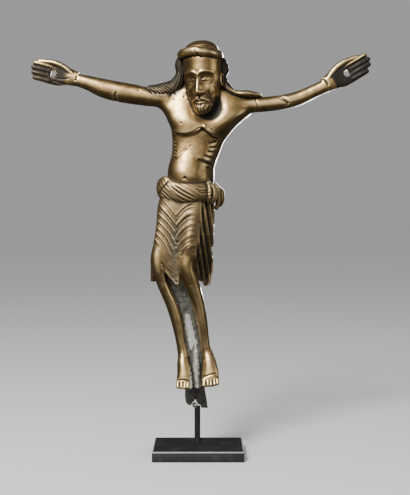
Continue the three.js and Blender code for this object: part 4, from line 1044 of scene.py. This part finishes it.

# Hair, from 0 to 1: crown, locks, beard and back hair. It is painted darker, partly as the hair's own
# duller tone and partly as painted shade: most on the beard under the bowed head, least on the lit
# crown.
zone = zones["crown"]
crown = headPlace(np.array([zone["at"]]))[0]
inCap = inside(zone, radius=np.linalg.norm(points - crown, axis=1),
               level=z - zone["slope"] * np.abs(x - crown[0]))
inLocks = np.zeros(len(points))
for lock in (hair["left"], hair["right"]):
    line = rowsAt(lock, np.linspace(0, len(lock) - 1, 60))
    away = np.hypot(x[:, None] - line[:, 0], z[:, None] - line[:, 2]) / line[:, 3]
    inLocks = np.maximum(inLocks, inside(zones["locks"], side=away.min(axis=1), front=y))
zone = zones["beard"]
fromChin = np.linalg.norm(points - headPlace(np.array([zone["at"]]))[0], axis=1)
inBeard = inside(zone, radius=fromChin, front=y)
zone, mass = zones["backHair"], hair["back"]
off = ovalDistance(x, z, mass["at"][::2], mass["wide"], mass["half"])
inBack = inside(zone, zone["strength"], side=off, front=y)
hairToneAndShade = np.maximum.reduce([zones["crown"]["strength"] * inCap, inLocks,
                            zones["beard"]["strength"] * inBeard, inBack])

# Painted shade: on the palms, together with dirt, in the hollow under the chin where the head's
# shadow falls, and on the upper locks beside the face
zone = zones["throat"]
off = ovalDistance(x, z, zone["middle"], zone["wide"], zone["tall"])
chinShadow = inside(zone, edge=off, under=y, back=y)
sooty = inside(zones["locks"], zones["locks"]["soot"] * inLocks, sooty=z)
paintedShadeAndDirt = np.maximum.reduce([palmDirtAndShade, chinShadow, sooty])

# Cloth, all but the knees that show through it
bareKnee = np.zeros(len(points))
zone = zones["knee"]
for rows in (legs["left"], legs["right"]):
    middle = np.interp(z, [row[2] for row in rows[::-1]], [row[0] for row in rows[::-1]])
    bareKnee = np.maximum(bareKnee, inside(zone, side=np.abs(x - middle), top=z, front=y))
zone = zones["cloth"]
sloped = z - zone["slope"] * np.abs(x - zone["x"])
inCloth = inside(zone, foot=z, top=sloped) * (1 - bareKnee)

# Unevenness: height, cell and seed of two layers in the crust, one all over and one on the tang
layers = [(0.16, 1.6, 3), (0.1, 0.8, 4), (0.05, 2.4, 5), (0.08, 1.2, 6)]
coarse, fine, cast, grain = (height * roughness(points, cell, seed)
                             for height, cell, seed in layers)
points -= normals * ((coarse + fine) * corroded + cast + grain * inTang)[:, None]

# How far each vertex lies below or above its surroundings, near by and further off: the steps of
# smoothing, how much of it counts as dirt in hollows and as rubbing on ridges, and how far hair and
# the dark places of painted shade and dirt are spared the rubbing
wear = dict(near=dict(steps=8, dirt=5.5, rub=7), far=dict(steps=70, dirt=0.7, rub=0.8),
            hairSpared=0.6, darkSpared=0.7)
smooth = points.copy()
dirt = rub = 0
for reach in (wear["near"], wear["far"]):
    for step in range(reach["steps"]):
        smooth = neighbourMean(smooth, edges, counts)
    below = np.einsum("ij,ij->i", smooth - points, normals)
    dirt = dirt + below * reach["dirt"]
    rub = rub - below * reach["rub"]
# Dark hollows are patina and dirt; the places added to them are painted shade, with dirt on the palms
hollowDirtAndShade = np.clip(np.maximum(dirt, 0) + paintedShadeAndDirt, 0, 1)
rub = rub * (1 - wear["hairSpared"] * hairToneAndShade) * (1 - wear["darkSpared"] * paintedShadeAndDirt)
crest = np.clip(rub, 0, 1)
movePoints(figure, points)
for name, values in (("hollowDirtAndShade", hollowDirtAndShade), ("crest", crest), ("corroded", corroded), ("tang", inTang),
                     ("hair", hairToneAndShade), ("cloth", inCloth), ("scoured", scoured)):
    addMask(figure, name, values)
print("wear measured")

shaped(figure, "TRIANGULATE")
shaped(figure, "DECIMATE", ratio=casting["triangles"] / len(figure.data.polygons))
movePoints(figure, readRows(figure.data.vertices, "co", 3) * mm)
figure.data.shade_smooth()
figure.data.update()
print("figure finished:", len(figure.data.polygons), "triangles")

# Display mount: a round rod with a bead of solder at its top, and a plate with bevelled edges
mount = dict(
    plateWide=45.6, plateLeft=-22.2, plateFront=-17, plateDeep=32.5, plateThick=5.2, chamfer=0.5,
    edgeRound=0.16, hardEdge=35, socketTop=9,
    rodRadius=1.5, rodX=0.1, rodY=7.6, rodTop=23.4, rodSunk=2, rodGap=0.3,
    beadRadius=1.35, beadX=-1.28, beadZ=23.8,
)


# Rod: a circle carried up a profile of height and radius, closed at both ends, and a lumpy bead
def rodForms():
    foot = mount["plateThick"] - mount["rodSunk"] + mount["rodGap"]
    radius, top = mount["rodRadius"], mount["rodTop"]
    angle = angles(64)
    straight = ((h, radius) for h in np.linspace(foot + 1, top - 0.4, 24))
    profile = np.array([(foot, radius * 0.96), (foot + 0.1, radius), *straight,
                        (top - 0.12, radius * 0.97), (top, radius * 0.86)])
    height, size = profile[:, [0]], profile[:, [1]]
    rod = grid(mount["rodX"] + size * np.cos(angle), mount["rodY"] + size * np.sin(angle), height)
    lat = np.linspace(0.06, np.pi - 0.06, 40)[:, None]
    lump = 1 + 0.05 * np.cos(3 * angle + 4 * lat) + 0.03 * np.sin(5 * lat)
    lump = mount["beadRadius"] * lump
    bead = grid(mount["beadX"] + lump * np.sin(lat) * np.cos(angle),
                mount["rodY"] + lump * np.sin(lat) * np.sin(angle),
                mount["beadZ"] + lump * np.cos(lat))
    return closedSkin(rod), closedSkin(bead)


rodPoints, rodTriangles = joined(rodForms())
rod = makePiece("mount_rod", rodPoints * mm, rodTriangles)
fromBead = np.linalg.norm(rodPoints - (mount["beadX"], mount["rodY"], mount["beadZ"]), axis=1)
addMask(rod, "bare", softStep(mount["beadRadius"] + 0.25, mount["beadRadius"], fromBead))
rod.data.shade_smooth()


# Plate: rectangles stacked from the underside to the chamfered top edge, less the rod's socket
def plateForm():
    rings = []
    wide, deep, thick, chamfer = (mount[key] for key in ("plateWide", "plateDeep", "plateThick",
                                                         "chamfer"))
    for inset, height in ((0, 0), (0, thick - chamfer), (chamfer, thick)):
        left, front = mount["plateLeft"] + inset, mount["plateFront"] + inset
        right, back = left + wide - 2 * inset, front + deep - 2 * inset
        rings.append([(left, front, height), (right, front, height),
                      (right, back, height), (left, back, height)])
    return closedSkin(np.array(rings))


plate = makePiece("mount_plate", *plateForm())
socketAngle = angles(64)
socketRadius = mount["rodRadius"] + mount["rodGap"]
socketRing = grid(mount["rodX"] + socketRadius * np.cos(socketAngle),
                  mount["rodY"] + socketRadius * np.sin(socketAngle), 0)
socketDepth = mount["plateThick"] - mount["rodSunk"]
socketEnds = [socketRing + (0, 0, height) for height in (socketDepth, mount["socketTop"])]
cutBy(plate, makePiece("socket", *closedSkin(np.concatenate(socketEnds))))
shaped(plate, "BEVEL", width=mount["edgeRound"], segments=3, limit_method="ANGLE",
       angle_limit=math.radians(25), harden_normals=False)
movePoints(plate, readRows(plate.data.vertices, "co", 3) * mm)

# The chamfer's edge is painted light as a highlight: vertices near the sides and the top
corner = readRows(plate.data.vertices, "co", 3) / mm
fromLeft, fromFront = corner[:, 0] - mount["plateLeft"], corner[:, 1] - mount["plateFront"]
inset = np.minimum.reduce([fromLeft, mount["plateWide"] - fromLeft,
                           fromFront, mount["plateDeep"] - fromFront])
chamferHighlight = inset < mount["chamfer"] + 0.01
chamferHighlight = chamferHighlight & (corner[:, 2] > mount["plateThick"] - mount["chamfer"] - 0.01)
addMask(plate, "edge", chamferHighlight)
plate.data.shade_smooth()
plate.data.set_sharp_from_angle(angle=math.radians(mount["hardEdge"]))
plate.data.update()
print("mount made")


# Helpers for materials

# Node with its settings, and its inputs given as values or as sockets to link
def addNode(tree, kind, inputs=(), **settings):
    node = tree.nodes.new(kind)
    for key, value in settings.items():
        setattr(node, key, value)
    for key, value in dict(inputs).items():
        if isinstance(value, bpy.types.NodeSocket):
            tree.links.new(value, node.inputs[key])
        else:
            node.inputs[key].default_value = value
    return node


def mathNode(tree, operation, a, b=0.0, clamp=False):
    return addNode(tree, "ShaderNodeMath", {0: a, 1: b}, operation=operation,
                   use_clamp=clamp).outputs[0]


def ramp(tree, value, low, high, toLow=0.0, toHigh=1.0):
    inputs = {"Value": value, "From Min": low, "From Max": high, "To Min": toLow, "To Max": toHigh}
    return addNode(tree, "ShaderNodeMapRange", inputs, interpolation_type="SMOOTHSTEP").outputs[0]


def mixColour(tree, factor, a, b):
    colour = lambda c: c if isinstance(c, bpy.types.NodeSocket) else (*c, 1.0)
    inputs = {0: factor, 6: colour(a), 7: colour(b)}
    return addNode(tree, "ShaderNodeMix", inputs, data_type="RGBA").outputs[2]


def noiseNode(tree, coords, scale, detail=4.0, rough=0.55, distortion=0.0):
    inputs = {"Vector": coords, "Scale": scale, "Detail": detail, "Roughness": rough,
              "Distortion": distortion}
    return addNode(tree, "ShaderNodeTexNoise", inputs).outputs["Fac"]


# Group with named inputs of kind and value, and named outputs
def newGroup(name, inputs, outputs):
    group = bpy.data.node_groups.new(name, "ShaderNodeTree")
    for key, (kind, value) in inputs.items():
        socket = group.interface.new_socket(name=key, in_out="INPUT",
                                            socket_type="NodeSocket" + kind)
        if value is not None:
            socket.default_value = value
    for key, kind in outputs.items():
        group.interface.new_socket(name=key, in_out="OUTPUT", socket_type="NodeSocket" + kind)
    return group, group.nodes.new("NodeGroupInput"), group.nodes.new("NodeGroupOutput")


# Handling marks on Object coordinates: broad cloudy unevenness, fine scratches and small pits
def makeMarks():
    scales = {"Cloud Scale": ("Float", 140.0), "Scratch Scale": ("Float", 420.0),
              "Pit Scale": ("Float", 620.0)}
    group, given, result = newGroup("handlingMarks", {"Vector": ("Vector", None), **scales},
                                    {"Cloud": "Float", "Scratches": "Float", "Pits": "Float"})
    vector, cloudScale, scratchScale, pitScale = (given.outputs[k] for k in range(4))
    cloud = noiseNode(group, vector, cloudScale, 6.0, 0.6, 0.4)
    drawnOut = {"Vector": vector, "Rotation": (0.3, 0.7, 0.5), "Scale": (1, 0.12, 6)}
    stretched = addNode(group, "ShaderNodeMapping", drawnOut)
    scratches = noiseNode(group, stretched.outputs[0], scratchScale, 3.0, 0.7, 0.6)
    scratches = ramp(group, scratches, 0.62, 0.74)
    cells = addNode(group, "ShaderNodeTexVoronoi", {"Vector": vector, "Scale": pitScale})
    holes = ramp(group, cells.outputs["Distance"], 0.3, 0.08)
    sparse = ramp(group, noiseNode(group, vector, 260.0, 2.0), 0.52, 0.66)
    pitted = mathNode(group, "MULTIPLY", holes, sparse)
    for key, value in (("Cloud", cloud), ("Scratches", scratches), ("Pits", pitted)):
        group.links.new(value, result.inputs[key])
    return group


marks = makeMarks()


# Material with a shader of plain values and the marks on the object's own coordinates
def newMaterial(name, values):
    material = bpy.data.materials.new(name)
    material.use_nodes = True
    tree = material.node_tree
    shader = tree.nodes["Principled BSDF"]
    for key, value in values.items():
        shader.inputs[key].default_value = value
    coords = tree.nodes.new("ShaderNodeTexCoord").outputs["Object"]
    placed = addNode(tree, "ShaderNodeGroup", node_tree=marks)
    tree.links.new(coords, placed.inputs["Vector"])
    marked = (placed.outputs[key] for key in ("Cloud", "Scratches", "Pits"))
    return material, tree, shader.inputs, coords, *marked


# The steps that a material uses most, all in the same tree: sum, difference, product and greater
# of two values, mixed colour, ramp, noise, and a mask read from the mesh
def nodeSteps(tree):
    maths = (partial(mathNode, tree, kind) for kind in ("ADD", "SUBTRACT", "MULTIPLY", "MAXIMUM"))
    others = (partial(make, tree) for make in (mixColour, ramp, noiseNode))
    read = lambda name: addNode(tree, "ShaderNodeAttribute", attribute_name=name).outputs["Fac"]
    return *maths, *others, read


# Old copper alloy: rubbed gold-brown metal, darker and redder where it is handled less, nearly black
# in the hollows, grey-green crust on the web and block and dull grey metal on the tang.
# Painted shade also turns the palms, the hollow under the chin and the upper locks nearly black, and
# darkens the hair, the beard most.
bronze = dict(
    polished=(0.43, 0.29, 0.115), worn=(0.58, 0.43, 0.21), brown=(0.16, 0.098, 0.043),
    dark=(0.014, 0.011, 0.008), hair=(0.075, 0.058, 0.04), cloth=(0.105, 0.078, 0.045),
    crust=(0.06, 0.057, 0.042), crustDark=(0.02, 0.022, 0.016), crustLight=(0.25, 0.25, 0.21),
    tangGrey=(0.028, 0.026, 0.023), tangPale=(0.06, 0.056, 0.05),
    bump=0.00022,
)


def bronzeMaterial():
    material, tree, shader, coords, cloud, scratches, holes = newMaterial(
        "patinated bronze", {"Metallic": 1.0, "Coat Roughness": 0.22, "Coat IOR": 1.45})
    add, less, times, greater, mix, step, noise, read = nodeSteps(tree)
    hollowDirtAndShade, crest, corroded, inTang, hairToneAndShade, cloth, scoured = (read(name) for name in (
        "hollowDirtAndShade", "crest", "corroded", "tang", "hair", "cloth", "scoured"))
    speckle = noise(coords, 900.0, 3.0, 0.6)

    # Metal, from rubbed to stained, with duller cloth and darker hair, partly the hair's own tone and
    # partly painted shade, most on the beard
    body = mix(step(cloud, 0.3, 0.7), bronze["brown"], bronze["polished"])
    stain = step(noise(coords, 75.0, 5.0, 0.62, 0.8), 0.46, 0.72)
    for mask, share, tone in (
            (stain, 0.4, "brown"), (hairToneAndShade, 0.85, "hair"), (cloth, 0.75, "cloth")):
        body = mix(times(mask, share), body, bronze[tone])
    rubbed = times(step(crest, 0.12, 0.85), less(1.0, times(cloth, 0.45)))
    body = mix(rubbed, body, bronze["worn"])
    # Nearly black where patina fills the hollows and where shade is painted on the palms, under the
    # chin and on the upper locks
    grimeAndShade = add(hollowDirtAndShade, times(speckle, 0.12))
    body = mix(step(grimeAndShade, 0.15, 0.75), body, bronze["dark"])
    body = mix(times(holes, 0.8), body, bronze["dark"])

    # Crust on the web and block, and the tang's own grey
    patches = step(noise(coords, 420.0, 6.0, 0.7), 0.36, 0.62)
    crust = mix(patches, bronze["crustDark"], bronze["crust"])
    crust = mix(times(scoured, 0.36), crust, bronze["crustLight"])
    powdery = step(add(crest, times(speckle, 0.4)), 0.5, 1.1)
    body = mix(corroded, body, mix(powdery, crust, bronze["crustLight"]))
    grey = mix(step(speckle, 0.4, 0.65), bronze["tangGrey"], bronze["tangPale"])
    tree.links.new(mix(inTang, body, grey), shader["Base Color"])

    # Dirt and painted shade, hair, cloth and crust are rougher, and a clear film lies on the clean
    # metal
    rough = step(cloud, 0.3, 0.72, 0.43, 0.3)
    for mask, share in ((cloth, 0.16), (hollowDirtAndShade, 0.3), (hairToneAndShade, 0.12)):
        rough = add(rough, times(mask, share))
    rough = add(rough, times(greater(corroded, inTang), 0.22), True)
    tree.links.new(rough, shader["Roughness"])
    dull = greater(times(corroded, 0.75), times(hollowDirtAndShade, 0.4))
    dull = greater(dull, times(inTang, 0.4))
    tree.links.new(less(1.0, dull, True), shader["Metallic"])
    tree.links.new(times(less(1.0, hollowDirtAndShade), 0.22), shader["Coat Weight"])

    height = less(less(times(cloud, 0.25), times(scratches, 0.12)), times(holes, 0.6))
    height = add(height, times(times(speckle, 0.9), corroded))
    height = add(height, times(speckle, 0.1))
    relief = {"Height": height, "Strength": 0.55, "Distance": bronze["bump"]}
    tree.links.new(addNode(tree, "ShaderNodeBump", relief).outputs[0], shader["Normal"])
    return material


# Satin black steel, a little greyer where it is rubbed. The rod's soldered tip is bare and bright,
# and the plate's chamfered edge is painted light grey as a highlight.
steel = dict(
    # edge is the grey of a painted highlight along the plate's chamfer
    black=(0.011, 0.0113, 0.0118), rubbed=(0.026, 0.0265, 0.0275), edge=(0.24, 0.245, 0.25),
    bright=(0.78, 0.76, 0.72), bump=0.00006,
)


def steelMaterial(name, bareTip):
    material, tree, shader, coords, cloud, scratches, holes = newMaterial(
        name, {"Metallic": 0.0, "IOR": 1.5, "Specular IOR Level": 0.22})
    add, less, times, greater, mix, step, noise, read = nodeSteps(tree)
    tone = mix(step(cloud, 0.45, 0.8), steel["black"], steel["rubbed"])
    tone = mix(times(scratches, 0.25), tone, steel["rubbed"])
    rough = step(cloud, 0.3, 0.75, 0.5, 0.4)
    if bareTip:
        bare = read("bare")
        tone = mix(bare, tone, steel["bright"])
        rough = less(rough, times(bare, 0.18))
        tree.links.new(bare, shader["Metallic"])
    else:
        # painted highlight along the plate's chamfer
        tone = mix(read("edge"), tone, steel["edge"])
    tree.links.new(tone, shader["Base Color"])
    tree.links.new(rough, shader["Roughness"])
    grain = add(noise(coords, 1500.0, 2.0), times(holes, -0.5))
    relief = {"Height": grain, "Strength": 0.35, "Distance": steel["bump"]}
    tree.links.new(addNode(tree, "ShaderNodeBump", relief).outputs[0], shader["Normal"])
    return material


figure.data.materials.append(bronzeMaterial())
rod.data.materials.append(steelMaterial("satin black rod", True))
plate.data.materials.append(steelMaterial("satin black plate", False))
for piece, node, slot in ((figure, "christ_figure", "bronze"), (rod, "stand_rod", "black_steel"),
                          (plate, "stand_plate", "black_steel")):
    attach(piece, "root")
    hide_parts(node)
print("materials made")

# Plain studio: pale floor, pale surroundings, a large soft light from the upper left, weak broad
# ones from the front and from the right, and a narrow one from behind on the right. Spread is how
# wide each one throws its light, in degrees.
studio = dict(floorHalf=6.0, floorTone=0.5, surround=0.36, ambient=0.7, mirrored=0.07)
lights = dict(
    key=dict(at=(-0.24, -0.44, 0.56), aim=(0, 0, 0.14), size=(0.22, 0.26), power=10, spread=180,
             colour=(1, 0.98, 0.95)),
    front=dict(at=(-0.08, -0.78, 0.3), aim=(0, 0, 0.12), size=(1.1, 0.8), power=3.6, spread=180,
               colour=(1, 0.99, 0.97)),
    fill=dict(at=(0.62, -0.22, 0.22), aim=(0, 0, 0.13), size=(0.35, 0.45), power=0.45, spread=120,
              colour=(1, 0.98, 0.95)),
    rim=dict(at=(0.17, 0.62, 0.22), aim=(0, 0, 0.15), size=(0.06, 0.3), power=3.2, spread=90,
             colour=(0.96, 0.98, 1)),
)


# Light put at a place and turned to face a target
def aimed(thing, at, target):
    thing.location = at
    thing.rotation_euler = (Vector(target) - Vector(at)).to_track_quat("-Z", "Y").to_euler()
    bpy.context.scene.collection.objects.link(thing)


# The narrow light falls on the figure alone
outlined = bpy.data.collections.new("outlined")
outlined.objects.link(figure)
for name, light in lights.items():
    lamp = bpy.data.lights.new(name, "AREA")
    lamp.shape = "RECTANGLE"
    lamp.size, lamp.size_y = light["size"]
    lamp.energy = light["power"]
    lamp.color = light["colour"]
    lamp.spread = math.radians(light["spread"])
    holder = bpy.data.objects.new(name, lamp)
    holder.visible_camera = False
    if name == "rim":
        holder.light_linking.receiver_collection = outlined
    aimed(holder, light["at"], light["aim"])

half = studio["floorHalf"]
corners = np.array([(-half, -half, 0), (half, -half, 0), (half, half, 0), (-half, half, 0)])
floor = makePiece("floor", corners, np.array([(0, 1, 2), (0, 2, 3)]))
floorPaint = bpy.data.materials.new("pale floor")
floorPaint.use_nodes = True
paint = floorPaint.node_tree.nodes["Principled BSDF"].inputs
for key, value in (("Base Color", (*[studio["floorTone"]] * 3, 1)), ("Roughness", 0.9),
                   ("Specular IOR Level", 0)):
    paint[key].default_value = value
floor.data.materials.append(floorPaint)
floor.visible_glossy = False

world = bpy.data.worlds.new("studio")
world.use_nodes = True
bpy.context.scene.world = world
sky = world.node_tree
path = addNode(sky, "ShaderNodeLightPath").outputs
around = mixColour(sky, path["Is Glossy Ray"], [studio["ambient"]] * 3, [studio["mirrored"]] * 3)
around = mixColour(sky, path["Is Camera Ray"], around, [studio["surround"]] * 3)
sky.links.new(around, sky.nodes["Background"].inputs["Color"])

# Camera at the photograph's viewing angle
cameraSet = dict(at=(4.04, -515.5, 127), down=2.386, focalPixels=1020, imageHeight=495, sensor=36)
lens = bpy.data.cameras.new("camera")
lens.sensor_fit = "VERTICAL"
lens.sensor_height = cameraSet["sensor"]
lens.lens = cameraSet["focalPixels"] / cameraSet["imageHeight"] * cameraSet["sensor"]
lens.clip_start = 0.01
camera = bpy.data.objects.new("camera", lens)
camera.location = Vector(cameraSet["at"]) * mm
camera.rotation_euler = (math.radians(90 - cameraSet["down"]), 0, 0)
bpy.context.scene.collection.objects.link(camera)
bpy.context.scene.camera = camera
print("studio made")
